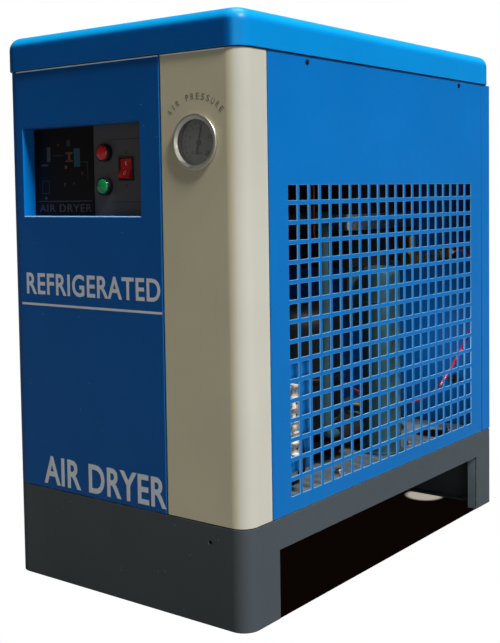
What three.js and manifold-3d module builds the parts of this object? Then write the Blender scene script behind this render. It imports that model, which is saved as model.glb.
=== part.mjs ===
// Refrigerated compressed-air dryer: a sheet-steel cabinet on an open base frame, with a recessed
// control panel and a round gauge in front, a punched grille on the right side, and the
// refrigeration circuit, heat exchanger, water separator and condensate drain inside.
//
// Millimetres, +Z up. The cabinet is laid out with its front face at y = 0 and its middle at
// x = 0; the whole group is then moved back so that the origin lies under the middle of the outline.
import * as THREE from 'three';
import { mergeVertices } from 'three/addons/utils/BufferGeometryUtils.js';
import Module from 'manifold-3d';

const wasm = await Module();
wasm.setup();

// ---------------------------------------------------------------- driving dimensions
const HALF_WIDTH = 200;
const DEPTH = 665;
const FRONT_CORNER = 22; // plan radius of both front corners
const REAR_CORNER = 3;
const CORNER_STEPS = 6;
const BASE_TOP = 123.2;
const LID_BOTTOM = 684;
const LID_TOP = 729;
const LID_OVERHANG = 2.5;
const LID_ROUNDING = 17;
const SHEET = 1.5; // panel steel
const BASE_SHEET = 2.5; // base frame steel
const SEAM = 1.2; // open line between neighbouring panels
const TOUCH = 0.3; // clearance between pieces that meet
const RETURN = 12; // width of a folded panel edge
const OVERCUT = 1; // how far a cutting block runs past a face

const PANEL_BOTTOM = BASE_TOP + SEAM;
const PANEL_TOP = LID_BOTTOM - SEAM;
const FRONT_SEAM_X = 78; // where the wide front panel meets the corner panel
const SIDE_SEAM_Y = 53.3; // where the front panels meet the side panels
const REAR_SEAM_Y = 634.2; // where the side panels meet the rear panel
const FLOOR = BASE_TOP + TOUCH;
const FLOOR_SHEET = 2.5;
const FLOOR_TOP = FLOOR + FLOOR_SHEET;
const PORT_END = 700; // the rear pipe connections set the deepest point
const BEZEL_PROUD = 4; // the gauge bezel sets the foremost point

const CUTOUT = { front: 66.3, rear: 613.6, height: 84.8 }; // side openings under the machine
const GRILLE = { columns: 21, rows: 16, pitch: 24.2, hole: 18.7, startY: 92.2, startZ: 143.7 };
const LOUVRES = { columns: 3, rows: 17, width: 118, height: 9, pitchY: 142, pitchZ: 24 };
const WINDOW = { left: -168.1, right: 43.5, bottom: 489.9, top: 606.4, depth: 20 };
const PLATE = { front: WINDOW.depth + TOUCH, back: WINDOW.depth + TOUCH + 2, margin: 4 }; // control plate
const GAUGE = { x: 133.4, z: 576.6, radius: 33.4, dial: 28.2, glass: 27.8, cutout: 30.6, lean: 13 };
const LAMP = { x: -33, redZ: 570.3, greenZ: 527.4, radius: 9, rim: 11.6, lens: 9.5 };
const SWITCH = { x: 2.3, z: 549.1, halfWidth: 12.6, halfHeight: 15.4, throw: 12 };
const CONDENSER = { left: -176, right: -140, front: 150, rear: 510, bottom: 160, top: 550 };
const FAN = { y: 330, z: 380, radius: 124 };
const COMPRESSOR = { x: 15, y: 365, radius: 76, bottom: 146, top: 350 };
const FEET_SPREAD = { x: 68, y: 80 }; // from the compressor's axis to its rubber mounts
const FOOT_PLATE = { bottom: 141.5, top: 145.5 };
const EXCHANGER = { left: -90, right: 100, front: 400, rear: 610, bottom: 400, top: 640 };
const SEPARATOR = { x: 135, y: 423, radius: 29, top: 405 };
const RISER = { x: 130, y: 277, top: 480, bottom: 175 }; // upright run of the suction line
const DRAIN = { y: 492, z: 150, valveX: 5, outletX: -45, outletCutout: 7 }; // condensate drain line
const LEVER_Z = DRAIN.z + 24;
const PORTS = [-45, 55]; // x of the air inlet and outlet
const PORT_Z = 560;
const PORT_CUTOUT = 24.8;
const GLAND = { x: 140, z: 200, cutout: 8.5 };
const DRIER = { x: -90, y: 160, bottom: 205, top: 285 };
const COIL_TAIL = { x: -158, run: 125, y: 146 }; // pipes leave the condenser and run along its front
const SWITCH_BLOCK = { left: 132, right: 156, front: 606, rear: 634, bottom: 398, top: 426 };
const BYPASS = { x: 144, y: 500, z: 412, rear: 517.5 };
const BUTTON = { x: 144, y: 620, radius: 4.4 };
const ANCHORS = { x: 150, inset: 11, radius: 4.5 };
const APRON_HOLE = { x: 144.9, z: 101.3, radius: 2.6 };
const FLOOR_HOLE = { x: 143, y: 574, radius: 31 };
const GAUGE_AT = [GAUGE.x, 0, GAUGE.z];
const GAUGE_SIDES = 24;

// ---------------------------------------------------------------- solids
// A closed geometry as a manifold, with its shared vertices merged.
function solid(geometry) {
  const bare = geometry.clone();
  bare.deleteAttribute('normal');
  bare.deleteAttribute('uv');
  const merged = mergeVertices(bare, 1e-4);
  const corners = [];
  for (let i = 0; i < merged.index.count; i += 3) {
    const [a, b, c] = [0, 1, 2].map((k) => merged.index.getX(i + k));
    if (a !== b && b !== c && c !== a) corners.push(a, b, c);
  }
  return new wasm.Manifold(
    new wasm.Mesh({
      numProp: 3,
      vertProperties: Float32Array.from(merged.attributes.position.array),
      triVerts: Uint32Array.from(corners),
    }),
  );
}

function geometryOf(manifold) {
  const mesh = manifold.getMesh();
  const geometry = new THREE.BufferGeometry();
  geometry.setAttribute('position', new THREE.BufferAttribute(mesh.vertProperties, 3));
  geometry.setIndex(new THREE.BufferAttribute(mesh.triVerts, 1));
  return geometry;
}

const joined = (first, ...others) => others.reduce((body, next) => body.add(next), first);
const cut = (first, ...others) => others.reduce((body, next) => body.subtract(next), first);

// A box whose faces lie exactly at the given places, so that neighbouring boxes share them.
function block(x0, x1, y0, y1, z0, z1) {
  const geometry = new THREE.BoxGeometry(1, 1, 1);
  const { position } = geometry.attributes;
  for (let i = 0; i < position.count; i += 1) {
    const [u, v, w] = [position.getX(i), position.getY(i), position.getZ(i)];
    position.setXYZ(i, u > 0 ? x1 : x0, v > 0 ? y1 : y0, w > 0 ? z1 : z0);
  }
  return solid(geometry);
}

// Turns a geometry made about its own Y axis so that it lies along the named axis.
function alongAxis(geometry, axis) {
  if (axis === 'z') geometry.rotateX(Math.PI / 2);
  if (axis === 'x') geometry.rotateZ(-Math.PI / 2);
  return geometry;
}

// A body of revolution. The profile is a list of [radius, height along the axis].
function turned(profile, axis, [x, y, z], sides = 16) {
  const points = profile.map(([radius, height]) => new THREE.Vector2(radius, height));
  return solid(alongAxis(new THREE.LatheGeometry(points, sides), axis).translate(x, y, z));
}

// A round bar from one height to another along an axis through the given point.
function bar(axis, radius, from, to, at, sides = 16) {
  return turned([[0, from], [radius, from], [radius, to], [0, to]], axis, at, sides);
}

const shapeOf = (points) => new THREE.Shape(points.map(([x, y]) => new THREE.Vector2(x, y)));

// An upright prism whose ends lie exactly at the given heights.
function prism(points, z0, z1) {
  const geometry = new THREE.ExtrudeGeometry(shapeOf(points), { depth: 1, bevelEnabled: false });
  const { position } = geometry.attributes;
  for (let i = 0; i < position.count; i += 1) {
    position.setZ(i, position.getZ(i) > 0.5 ? z1 : z0);
  }
  return solid(geometry);
}

function arc(cx, cy, radius, startDegrees, endDegrees, steps = CORNER_STEPS) {
  return Array.from({ length: steps + 1 }, (_, i) => {
    const angle = THREE.MathUtils.degToRad(startDegrees + ((endDegrees - startDegrees) * i) / steps);
    return [cx + radius * Math.cos(angle), cy + radius * Math.sin(angle)];
  });
}

// Counter-clockwise plan outline of a rectangle with rounded front and rear corners.
function roundedOutline(halfWidth, front, rear, frontRadius, rearRadius) {
  const fx = halfWidth - frontRadius;
  const rx = halfWidth - rearRadius;
  return [
    ...arc(-fx, front + frontRadius, frontRadius, 180, 270),
    ...arc(fx, front + frontRadius, frontRadius, 270, 360),
    ...arc(rx, rear - rearRadius, rearRadius, 0, 90),
    ...arc(-rx, rear - rearRadius, rearRadius, 90, 180),
  ];
}

// The cabinet's plan outline, moved inwards by a distance.
function cabinetOutline(inset) {
  const front = Math.max(FRONT_CORNER - inset, 1);
  const rear = Math.max(REAR_CORNER - inset, 1);
  return roundedOutline(HALF_WIDTH - inset, inset, DEPTH - inset, front, rear);
}

// A folded sheet: the path is its outer face in plan, and the thickness lies to the path's left.
function foldedSheet(path, z0, z1, thickness = SHEET) {
  const points = path.map(([x, y]) => new THREE.Vector2(x, y));
  const inner = points.map((point, i) => {
    const before = point.clone().sub(points[Math.max(i - 1, 0)]).normalize();
    const after = points[Math.min(i + 1, points.length - 1)].clone().sub(point).normalize();
    if (i === 0) before.copy(after);
    if (i === points.length - 1) after.copy(before);
    const along = before.clone().add(after).normalize();
    const reach = thickness / along.dot(after);
    return [point.x - along.y * reach, point.y + along.x * reach];
  });
  return prism([...path, ...inner.reverse()], z0, z1);
}

// A curve through fixed stops, so that an extruded tube has one ring of vertices at each.
class StopCurve extends THREE.Curve {
  constructor(stops) {
    super();
    this.stops = stops;
  }

  getPointAt(u) {
    return this.stops[Math.round(u * (this.stops.length - 1))].clone();
  }

  getTangentAt(u) {
    const i = Math.round(u * (this.stops.length - 1));
    const point = this.stops[i];
    const before = point.clone().sub(this.stops[Math.max(i - 1, 0)]).normalize();
    const after = this.stops[Math.min(i + 1, this.stops.length - 1)].clone().sub(point).normalize();
    return before.add(after).normalize();
  }
}

// A polyline's corners rounded by short arcs.
function rounded(points, bend, steps = 4) {
  const corners = points.map((point) => new THREE.Vector3(...point));
  const stops = [corners[0]];
  for (let i = 1; i < corners.length - 1; i += 1) {
    const back = corners[i - 1].clone().sub(corners[i]);
    const ahead = corners[i + 1].clone().sub(corners[i]);
    const reach = Math.min(bend, back.length() * 0.45, ahead.length() * 0.45);
    const from = corners[i].clone().add(back.setLength(reach));
    const to = corners[i].clone().add(ahead.setLength(reach));
    stops.push(...new THREE.QuadraticBezierCurve3(from, corners[i], to).getPoints(steps));
  }
  stops.push(corners[corners.length - 1]);
  return stops;
}

function tube(stops, radius, sides = 6) {
  const ring = shapeOf(arc(0, 0, radius, 0, 360, sides).slice(0, sides));
  const options = { steps: stops.length - 1, extrudePath: new StopCurve(stops), bevelEnabled: false };
  return solid(new THREE.ExtrudeGeometry(ring, options));
}

const pipe = (points, radius, bend, sides) => tube(rounded(points, bend), radius, sides);

// ---------------------------------------------------------------- materials and naming
const FINISH = {
  bluePaint: { color: 0x0a62ad, roughness: 0.42, metalness: 0.0 },
  lidPaint: { color: 0x0a8ad2, roughness: 0.4, metalness: 0.0 },
  beigePaint: { color: 0xb8b3a2, roughness: 0.45, metalness: 0.0 },
  basePaint: { color: 0x46515a, roughness: 0.55, metalness: 0.0 },
  greyPaint: { color: 0x9a9d9a, roughness: 0.5, metalness: 0.0 },
  blackPaint: { color: 0x16171a, roughness: 0.5, metalness: 0.0 },
  tankPaint: { color: 0x6d7f7c, roughness: 0.55, metalness: 0.0 },
  chrome: { color: 0xc9ccd0, roughness: 0.25, metalness: 1.0 },
  steel: { color: 0xa7abad, roughness: 0.4, metalness: 1.0 },
  aluminium: { color: 0xb9bcc0, roughness: 0.45, metalness: 1.0 },
  copper: { color: 0xb4694a, roughness: 0.4, metalness: 1.0 },
  brass: { color: 0xa78b4c, roughness: 0.4, metalness: 1.0 },
  blackPlastic: { color: 0x17181a, roughness: 0.5, metalness: 0.0 },
  whitePlastic: { color: 0xd9d8d2, roughness: 0.5, metalness: 0.0 },
  greyPlastic: { color: 0x8c8a84, roughness: 0.5, metalness: 0.0 },
  redPlastic: { color: 0xb51a1a, roughness: 0.35, metalness: 0.0 },
  greenPlastic: { color: 0x149a55, roughness: 0.3, metalness: 0.0 },
  yellowPlastic: { color: 0xd8a51a, roughness: 0.45, metalness: 0.0 },
  dialFace: { color: 0x9fa19c, roughness: 0.6, metalness: 0.0 },
  rubber: { color: 0x1d1d1e, roughness: 0.85, metalness: 0.0 },
  foam: { color: 0x1b1c1e, roughness: 0.95, metalness: 0.0 },
  glass: { color: 0xe6eef0, roughness: 0.05, metalness: 0.0, transparent: true, opacity: 0.3 },
};

const dryer = new THREE.Group();

function place(name, manifold, finish) {
  const mesh = new THREE.Mesh(geometryOf(manifold), new THREE.MeshStandardMaterial(FINISH[finish]));
  mesh.name = name;
  dryer.add(mesh);
}

// ---------------------------------------------------------------- base frame and floor
// Folded apron with a flange inside its top edge, openings in both sides, and folded-in edges
// round each opening and under the front and rear aprons.
function baseFrame() {
  const flangeWidth = 22;
  const footWidth = 20;
  const footHalf = 180;
  const midWall = BASE_SHEET / 2;
  const { front, rear, height } = CUTOUT;
  const apron = cut(
    prism(cabinetOutline(0), 0, BASE_TOP),
    prism(cabinetOutline(BASE_SHEET), -OVERCUT, BASE_TOP - BASE_SHEET),
    prism(cabinetOutline(flangeWidth), 0, BASE_TOP + OVERCUT),
  );
  const rims = [-1, 1].map((side) => {
    const ends = [side * (HALF_WIDTH - RETURN), side * (HALF_WIDTH - midWall)].sort((a, b) => a - b);
    return block(...ends, front - BASE_SHEET, rear + BASE_SHEET, 0, height + BASE_SHEET);
  });
  const feet = [
    block(-footHalf, footHalf, midWall, footWidth, 0, BASE_SHEET),
    block(-footHalf, footHalf, DEPTH - footWidth, DEPTH - midWall, 0, BASE_SHEET),
  ];
  const through = [-OVERCUT, BASE_SHEET + OVERCUT];
  const anchorHoles = [-ANCHORS.x, ANCHORS.x].flatMap((x) =>
    [ANCHORS.inset, DEPTH - ANCHORS.inset].map((y) => bar('z', ANCHORS.radius, ...through, [x, y, 0], 12)),
  );
  return cut(
    joined(apron, ...rims, ...feet),
    block(-HALF_WIDTH - OVERCUT, HALF_WIDTH + OVERCUT, front, rear, -OVERCUT, height),
    bar('y', APRON_HOLE.radius, ...through, [APRON_HOLE.x, 0, APRON_HOLE.z], 12),
    ...anchorHoles,
  );
}

// Equipment floor with a round condensate and air hole near its rear right corner.
function floorPlate() {
  const half = 186;
  const margin = 14.5;
  const { x, y, radius } = FLOOR_HOLE;
  return cut(
    block(-half, half, margin, DEPTH - margin, FLOOR, FLOOR_TOP),
    bar('z', radius, FLOOR - OVERCUT, FLOOR_TOP + OVERCUT, [x, y, 0], 24),
  );
}

// ---------------------------------------------------------------- cabinet panels
// Folded-in top edge of a panel that wraps a front corner.
function topReturn(outline, x0, x1) {
  const strip = block(x0, x1, -OVERCUT, SIDE_SEAM_Y - SEAM, PANEL_TOP - SHEET, PANEL_TOP);
  const inside = block(-HALF_WIDTH + RETURN, HALF_WIDTH - RETURN, RETURN, DEPTH, 0, LID_TOP);
  return cut(strip.intersect(prism(outline, 0, LID_TOP)), inside);
}

function frontPanel() {
  const end = SIDE_SEAM_Y - SEAM / 2;
  const seam = FRONT_SEAM_X - SEAM / 2;
  const skin = foldedSheet(
    [
      [-HALF_WIDTH + RETURN, end],
      [-HALF_WIDTH, end],
      ...arc(-HALF_WIDTH + FRONT_CORNER, FRONT_CORNER, FRONT_CORNER, 180, 270),
      [seam, 0],
      [seam, RETURN],
    ],
    PANEL_BOTTOM,
    PANEL_TOP,
  );
  const { left, right, bottom, top, depth } = WINDOW;
  const reveal = block(left - SHEET, right + SHEET, SHEET / 2, depth, bottom - SHEET, top + SHEET);
  const opening = block(left, right, -OVERCUT, depth + OVERCUT, bottom, top);
  const upper = topReturn(cabinetOutline(SHEET / 2), -HALF_WIDTH - OVERCUT, seam - SHEET / 2);
  return cut(joined(skin, reveal, upper), opening);
}

function cornerPanel() {
  const end = SIDE_SEAM_Y - SEAM / 2;
  const seam = FRONT_SEAM_X + SEAM / 2;
  const skin = foldedSheet(
    [
      [seam, RETURN],
      [seam, 0],
      ...arc(HALF_WIDTH - FRONT_CORNER, FRONT_CORNER, FRONT_CORNER, 270, 360),
      [HALF_WIDTH, end],
      [HALF_WIDTH - RETURN, end],
    ],
    PANEL_BOTTOM,
    PANEL_TOP,
  );
  const upper = topReturn(cabinetOutline(SHEET / 2), seam + SHEET / 2, HALF_WIDTH + OVERCUT);
  const gaugeHole = bar('y', GAUGE.cutout, -OVERCUT, SHEET + OVERCUT, GAUGE_AT, GAUGE_SIDES);
  return cut(joined(skin, upper), gaugeHole);
}

// A block for each rectangular hole, given as [y, z, width, height], through a sheet from x0 to x1.
function punches(x0, x1, holes) {
  return holes.map(([y, z, width, height]) =>
    block(x0 - OVERCUT, x1 + OVERCUT, y, y + width, z, z + height),
  );
}

// A side panel with folded front and rear edges; side is 1 on the right and -1 on the left.
function sidePanel(side, holes) {
  const front = SIDE_SEAM_Y + SEAM / 2;
  const rear = REAR_SEAM_Y - SEAM / 2;
  const edge = side * (HALF_WIDTH - RETURN);
  const face = side * HALF_WIDTH;
  const path = [[edge, front], [face, front], [face, rear], [edge, rear]];
  const sheet = foldedSheet(side > 0 ? path : path.reverse(), PANEL_BOTTOM, PANEL_TOP);
  const ends = [face, side * (HALF_WIDTH - SHEET)].sort((a, b) => a - b);
  return cut(sheet, ...punches(...ends, holes));
}

function grid(columns, rows, startY, startZ, pitchY, pitchZ, width, height) {
  return Array.from({ length: columns * rows }, (_, i) => [
    startY + (i % columns) * pitchY,
    startZ + Math.floor(i / columns) * pitchZ,
    width,
    height,
  ]);
}

function grilleHoles() {
  const { columns, rows, pitch, hole, startY, startZ } = GRILLE;
  return grid(columns, rows, startY, startZ, pitch, pitch, hole, hole);
}

// Condenser air slots: the field is centred on the side panel and starts level with the grille.
function louvreHoles() {
  const { columns, rows, width, height, pitchY, pitchZ } = LOUVRES;
  const middle = (SIDE_SEAM_Y + REAR_SEAM_Y) / 2;
  const startY = middle - ((columns - 1) * pitchY + width) / 2;
  return grid(columns, rows, startY, GRILLE.startZ, pitchY, pitchZ, width, height);
}

function rearPanel() {
  const front = REAR_SEAM_Y + SEAM / 2;
  const sheet = foldedSheet(
    [
      [HALF_WIDTH - RETURN, front],
      [HALF_WIDTH, front],
      [HALF_WIDTH, DEPTH],
      [-HALF_WIDTH, DEPTH],
      [-HALF_WIDTH, front],
      [-HALF_WIDTH + RETURN, front],
    ],
    PANEL_BOTTOM,
    PANEL_TOP,
  );
  const through = (radius, x, z) => bar('y', radius, DEPTH - 5, DEPTH + 5, [x, 0, z]);
  return cut(
    sheet,
    ...PORTS.map((x) => through(PORT_CUTOUT, x, PORT_Z)),
    through(GLAND.cutout, GLAND.x, GLAND.z),
    through(DRAIN.outletCutout, DRAIN.outletX, DRAIN.z),
  );
}

// Lid: a rounded pressing, hollow underneath, with its lower edge folded in to rest on the panels.
function topCover() {
  const lip = 14;
  const wall = 2;
  const dome = (rounding, from, to) => {
    const edge = roundedOutline(
      HALF_WIDTH + LID_OVERHANG - LID_ROUNDING,
      LID_ROUNDING - LID_OVERHANG,
      DEPTH + LID_OVERHANG - LID_ROUNDING,
      FRONT_CORNER + LID_OVERHANG - LID_ROUNDING,
      FRONT_CORNER + LID_OVERHANG - LID_ROUNDING,
    );
    const geometry = new THREE.ExtrudeGeometry(shapeOf(edge), {
      depth: to - rounding - from,
      bevelEnabled: true,
      bevelSize: rounding,
      bevelThickness: rounding,
      bevelSegments: 4,
    });
    const below = block(-DEPTH, DEPTH, -DEPTH, 2 * DEPTH, from - 2 * rounding, from);
    return cut(solid(geometry.translate(0, 0, from)), below);
  };
  const mouth = prism(
    roundedOutline(HALF_WIDTH - lip, lip, DEPTH - lip, FRONT_CORNER, FRONT_CORNER),
    LID_BOTTOM - OVERCUT,
    LID_BOTTOM + 2 * wall,
  );
  const cavity = dome(LID_ROUNDING - wall, LID_BOTTOM + wall, LID_TOP - wall);
  return cut(dome(LID_ROUNDING, LID_BOTTOM, LID_TOP), cavity, mouth);
}

place('base_frame', baseFrame(), 'basePaint');
place('floor_plate', floorPlate(), 'greyPaint');
place('front_panel', frontPanel(), 'bluePaint');
place('corner_panel', cornerPanel(), 'beigePaint');
place('right_side_panel', sidePanel(1, grilleHoles()), 'bluePaint');
place('left_side_panel', sidePanel(-1, louvreHoles()), 'bluePaint');
place('rear_panel', rearPanel(), 'bluePaint');
place('top_cover', topCover(), 'lidPaint');

// ---------------------------------------------------------------- control panel
const SWITCH_FACE = PLATE.front - TOUCH - 2;
const ROCKER_PIVOT_Y = SWITCH_FACE + 4;

function controlPlate() {
  const { left, right, bottom, top } = WINDOW;
  const { front, back, margin } = PLATE;
  const plate = block(left - margin, right + margin, front, back, bottom - margin, top + margin);
  const { x, z } = SWITCH;
  const switchHole = block(x - 11.3, x + 11.3, front - OVERCUT, back + OVERCUT, z - 14.3, z + 14.3);
  const lampHoles = [LAMP.redZ, LAMP.greenZ].map((lampZ) =>
    bar('y', LAMP.radius - 0.2, front - OVERCUT, back + OVERCUT, [LAMP.x, 0, lampZ]),
  );
  return cut(plate, switchHole, ...lampHoles);
}

// Dark printed overlay on the left half of the plate.
function mimicOverlay() {
  const thickness = 0.8;
  const back = PLATE.front - TOUCH;
  const edge = { left: WINDOW.left + 1, right: -55, bottom: WINDOW.bottom + 1, top: WINDOW.top - 1 };
  return block(edge.left, edge.right, back - thickness, back, edge.bottom, edge.top);
}

// Open-fronted tray that covers the back of the plate.
function controlBox() {
  const wall = 1.2;
  const { left, right, bottom, top } = WINDOW;
  const m = PLATE.margin;
  const y0 = PLATE.back + TOUCH;
  const depth = 76;
  const outer = block(left - m, right + m, y0, y0 + depth, bottom - m, top + m);
  const hollow = block(
    left - m + wall,
    right + m - wall,
    y0 - OVERCUT,
    y0 + depth - wall,
    bottom - m + wall,
    top + m - wall,
  );
  return cut(outer, hollow);
}

function switchHousing() {
  const { x, z, halfWidth, halfHeight } = SWITCH;
  const back = 44;
  const slab = (wide, high, from, to) => block(x - wide, x + wide, from, to, z - high, z + high);
  const flange = slab(halfWidth, halfHeight, SWITCH_FACE, SWITCH_FACE + 2);
  const body = slab(11, 14, SWITCH_FACE + 1, back);
  const well = slab(9.8, 13.5, SWITCH_FACE - OVERCUT, back - 8);
  return cut(joined(flange, body), well);
}

// Rocker with a shallow V face, shown with its upper half pressed. It turns about its own middle.
function switchRocker() {
  const throwAngle = THREE.MathUtils.degToRad(SWITCH.throw);
  const profile = shapeOf([
    [0, -3],
    [11.9, -5.5],
    ...arc(0, 0, 13.1, -18, 24, 4),
    [5, 9],
    [-5, 9],
    ...arc(0, 0, 13.1, 156, 198, 4),
    [-11.9, -5.5],
  ]);
  const width = 18.8;
  const geometry = new THREE.ExtrudeGeometry(profile, { depth: width, bevelEnabled: false });
  const turn = new THREE.Matrix4().makeBasis(
    new THREE.Vector3(0, 0, 1),
    new THREE.Vector3(0, 1, 0),
    new THREE.Vector3(-1, 0, 0),
  );
  geometry.applyMatrix4(turn).translate(width / 2, 0, 0).rotateX(-throwAngle);
  return solid(geometry.translate(SWITCH.x, ROCKER_PIVOT_Y, SWITCH.z));
}

function lampBody(z) {
  const { rim, radius, lens } = LAMP;
  const [face, floor, front, back] = [12.5, 15, PLATE.front - TOUCH, 48];
  const well = lens + 0.3;
  const barrel = radius - 0.6;
  return turned(
    [
      [0, floor], [well, floor], [well, face], [rim, face], [rim, front], [barrel, front], [barrel, back],
      [0, back],
    ],
    'y',
    [LAMP.x, 0, z],
  );
}

function lampLens(z) {
  const back = 14.7;
  const dome = [[0, 9], [5, 9.5], [8, 11], [LAMP.lens, 13], [LAMP.lens, back], [0, back]];
  return turned(dome, 'y', [LAMP.x, 0, z]);
}

place('control_plate', controlPlate(), 'greyPlastic');
place('mimic_overlay', mimicOverlay(), 'blackPlastic');
place('control_box', controlBox(), 'greyPaint');
place('switch_housing', switchHousing(), 'blackPlastic');
place('switch_rocker', switchRocker(), 'redPlastic');
place('red_lamp_body', lampBody(LAMP.redZ), 'blackPlastic');
place('red_lamp_lens', lampLens(LAMP.redZ), 'redPlastic');
place('green_lamp_body', lampBody(LAMP.greenZ), 'blackPlastic');
place('green_lamp_lens', lampLens(LAMP.greenZ), 'greenPlastic');

// ---------------------------------------------------------------- gauge
const POINTER = { front: 4.6, depth: 1.1, tip: 22, tail: 15, hub: 3.2 };

// Cup with a pipe stub behind it.
function gaugeCase() {
  const wall = GAUGE.dial + 0.4;
  const body = 29.8;
  return turned(
    [
      [0, 10], [wall, 10], [wall, 0.2], [body, 0.2], [body, 26], [26, 30], [6, 30], [6, 40], [0, 40],
    ],
    'y',
    GAUGE_AT,
    GAUGE_SIDES,
  );
}

// Low ring whose inner face slopes down to a lip in front of the glass.
function gaugeBezel() {
  const r = GAUGE.radius;
  const lip = 27;
  return turned(
    [
      [lip, -1.5], [r - 3.4, -BEZEL_PROUD], [r - 1.4, -BEZEL_PROUD], [r - 0.3, -3.2], [r, -2],
      [r, -TOUCH], [GAUGE.dial, -TOUCH], [GAUGE.dial, -1], [lip, -1], [lip, -1.5],
    ],
    'y',
    GAUGE_AT,
    GAUGE_SIDES,
  );
}

// Needle with a round hub and a tail, leaning just right of upright.
function gaugePointer() {
  const { front, depth, tip, tail, hub } = POINTER;
  const right = [[0.5, tip], [1.5, 3], [1.7, -tail]];
  const left = right.map(([x, z]) => [-x, z]).reverse();
  const geometry = new THREE.ExtrudeGeometry(shapeOf([...right, ...left]), { depth, bevelEnabled: false });
  geometry.rotateX(Math.PI / 2).rotateY(THREE.MathUtils.degToRad(GAUGE.lean));
  const needle = solid(geometry.translate(GAUGE.x, front + depth, GAUGE.z));
  return joined(needle, bar('y', hub, front - 0.6, front + depth + 0.4, GAUGE_AT, 16));
}

place('gauge_case', gaugeCase(), 'steel');
place('gauge_bezel', gaugeBezel(), 'chrome');
place('gauge_dial', bar('y', GAUGE.dial, 8.4, 9.4, GAUGE_AT, GAUGE_SIDES), 'dialFace');
place('gauge_pointer', gaugePointer(), 'blackPaint');
place('gauge_glass', bar('y', GAUGE.glass, -0.7, 0.8, GAUGE_AT, GAUGE_SIDES), 'glass');

// ---------------------------------------------------------------- compressor
// Two drawn half shells that meet in a welded rib.
function compressorShell() {
  const { x, y, radius: r, bottom, top } = COMPRESSOR;
  const seam = 240;
  return turned(
    [
      [0, bottom], [50, bottom], [r - 6, bottom + 10], [r, bottom + 26], [r, seam - 4], [r + 4, seam - 3],
      [r + 4, seam + 3], [r, seam + 4], [r, top - 35], [r - 8, top - 14], [r - 28, top - 3], [0, top],
    ],
    'z',
    [x, y, 0],
    20,
  );
}

// Pressed foot plate under the shell, reaching out to the four rubber mounts.
function compressorBase() {
  const { x, y } = COMPRESSOR;
  const { bottom, top } = FOOT_PLATE;
  const margin = 14;
  const long = FEET_SPREAD.y + margin;
  const wide = FEET_SPREAD.x + margin;
  const railHalf = 13;
  const bridgeHalf = 40;
  const holes = eachFoot((fx, fy) => bar('z', 4, bottom - OVERCUT, top + OVERCUT, [fx, fy, 0], 12));
  const rails = [-1, 1].map((side) => {
    const middle = x + side * FEET_SPREAD.x;
    return block(middle - railHalf, middle + railHalf, y - long, y + long, bottom, top);
  });
  const bridge = block(x - wide, x + wide, y - bridgeHalf, y + bridgeHalf, bottom, top);
  return cut(joined(bridge, ...rails), ...holes);
}

function eachFoot(make) {
  return [-1, 1].flatMap((sx) =>
    [-1, 1].map((sy) => make(COMPRESSOR.x + sx * FEET_SPREAD.x, COMPRESSOR.y + sy * FEET_SPREAD.y)),
  );
}

function rubberMount(x, y) {
  const bottom = FLOOR_TOP + TOUCH;
  const top = FOOT_PLATE.bottom - TOUCH;
  const waist = (bottom + top) / 2;
  return turned(
    [[0, bottom], [11, bottom], [11, waist - 3], [8, waist], [11, waist + 3], [11, top], [0, top]],
    'z',
    [x, y, 0],
    16,
  );
}

// Box over the electrical pins, just clear of the shell's rib.
function terminalCover() {
  const { x, y, radius } = COMPRESSOR;
  const start = y + radius + 5 + TOUCH;
  const half = 25;
  return block(x - half, x + half, start, start + 27.7, 190, 242);
}

place('compressor_shell', compressorShell(), 'blackPaint');
place('compressor_base', compressorBase(), 'blackPaint');
eachFoot(rubberMount).forEach((mount, i) => place(`compressor_mount_${i + 1}`, mount, 'rubber'));
place('compressor_terminal_cover', terminalCover(), 'blackPlastic');

// ---------------------------------------------------------------- condenser and fan
function condenserCoil() {
  const { left, right, front, rear, bottom, top } = CONDENSER;
  const plate = 3;
  const lap = 4;
  const core = block(left, right, front, rear, bottom, top);
  const ends = [front - plate, rear].map((y) =>
    block(left - 2, right + 2, y, y + plate, bottom - lap, top + lap),
  );
  return joined(core, ...ends);
}

const SHROUD_X = CONDENSER.right + 2 + TOUCH;
const RING_X = -100;
const STRAP_X = -98; // inner face of the motor's strap

// Square plate on the coil, drawn out to a ring round the blades.
function fanShroud() {
  const { front, rear, bottom, top } = CONDENSER;
  const { y, z, radius } = FAN;
  const plate = block(SHROUD_X, SHROUD_X + SHEET, front, rear, bottom, top);
  const ring = bar('x', radius + 6, SHROUD_X + SHEET / 2, RING_X, [0, y, z], 28);
  const bore = bar('x', radius + 4, SHROUD_X - OVERCUT, RING_X + OVERCUT, [0, y, z], 28);
  return cut(joined(plate, ring), bore);
}

// Five pitched blades on a hub, with a stub shaft towards the motor.
function fanBlades() {
  const count = 5;
  const hub = { radius: 32, from: -132, to: -108 };
  const blade = () => {
    const plan = shapeOf([
      [hub.radius - 6, -13],
      [FAN.radius - 16, -38],
      ...arc(0, 0, FAN.radius, -16, 10, 5),
      [FAN.radius - 50, 24],
      [hub.radius - 6, 12],
    ]);
    const sheet = new THREE.ExtrudeGeometry(plan, { depth: 1.6, bevelEnabled: false });
    return sheet.translate(0, 0, -0.8).rotateX(THREE.MathUtils.degToRad(22));
  };
  const blades = Array.from({ length: count }, (_, i) => {
    const turn = (2 * Math.PI * i) / count;
    const placed = blade().rotateY(Math.PI / 2).rotateX(turn);
    return solid(placed.translate((hub.from + hub.to) / 2, FAN.y, FAN.z));
  });
  const at = [0, FAN.y, FAN.z];
  const shaft = bar('x', 4, hub.to - OVERCUT, STRAP_X + 1.4, at, 12);
  return joined(bar('x', hub.radius, hub.from, hub.to, at), ...blades, shaft);
}

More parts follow.
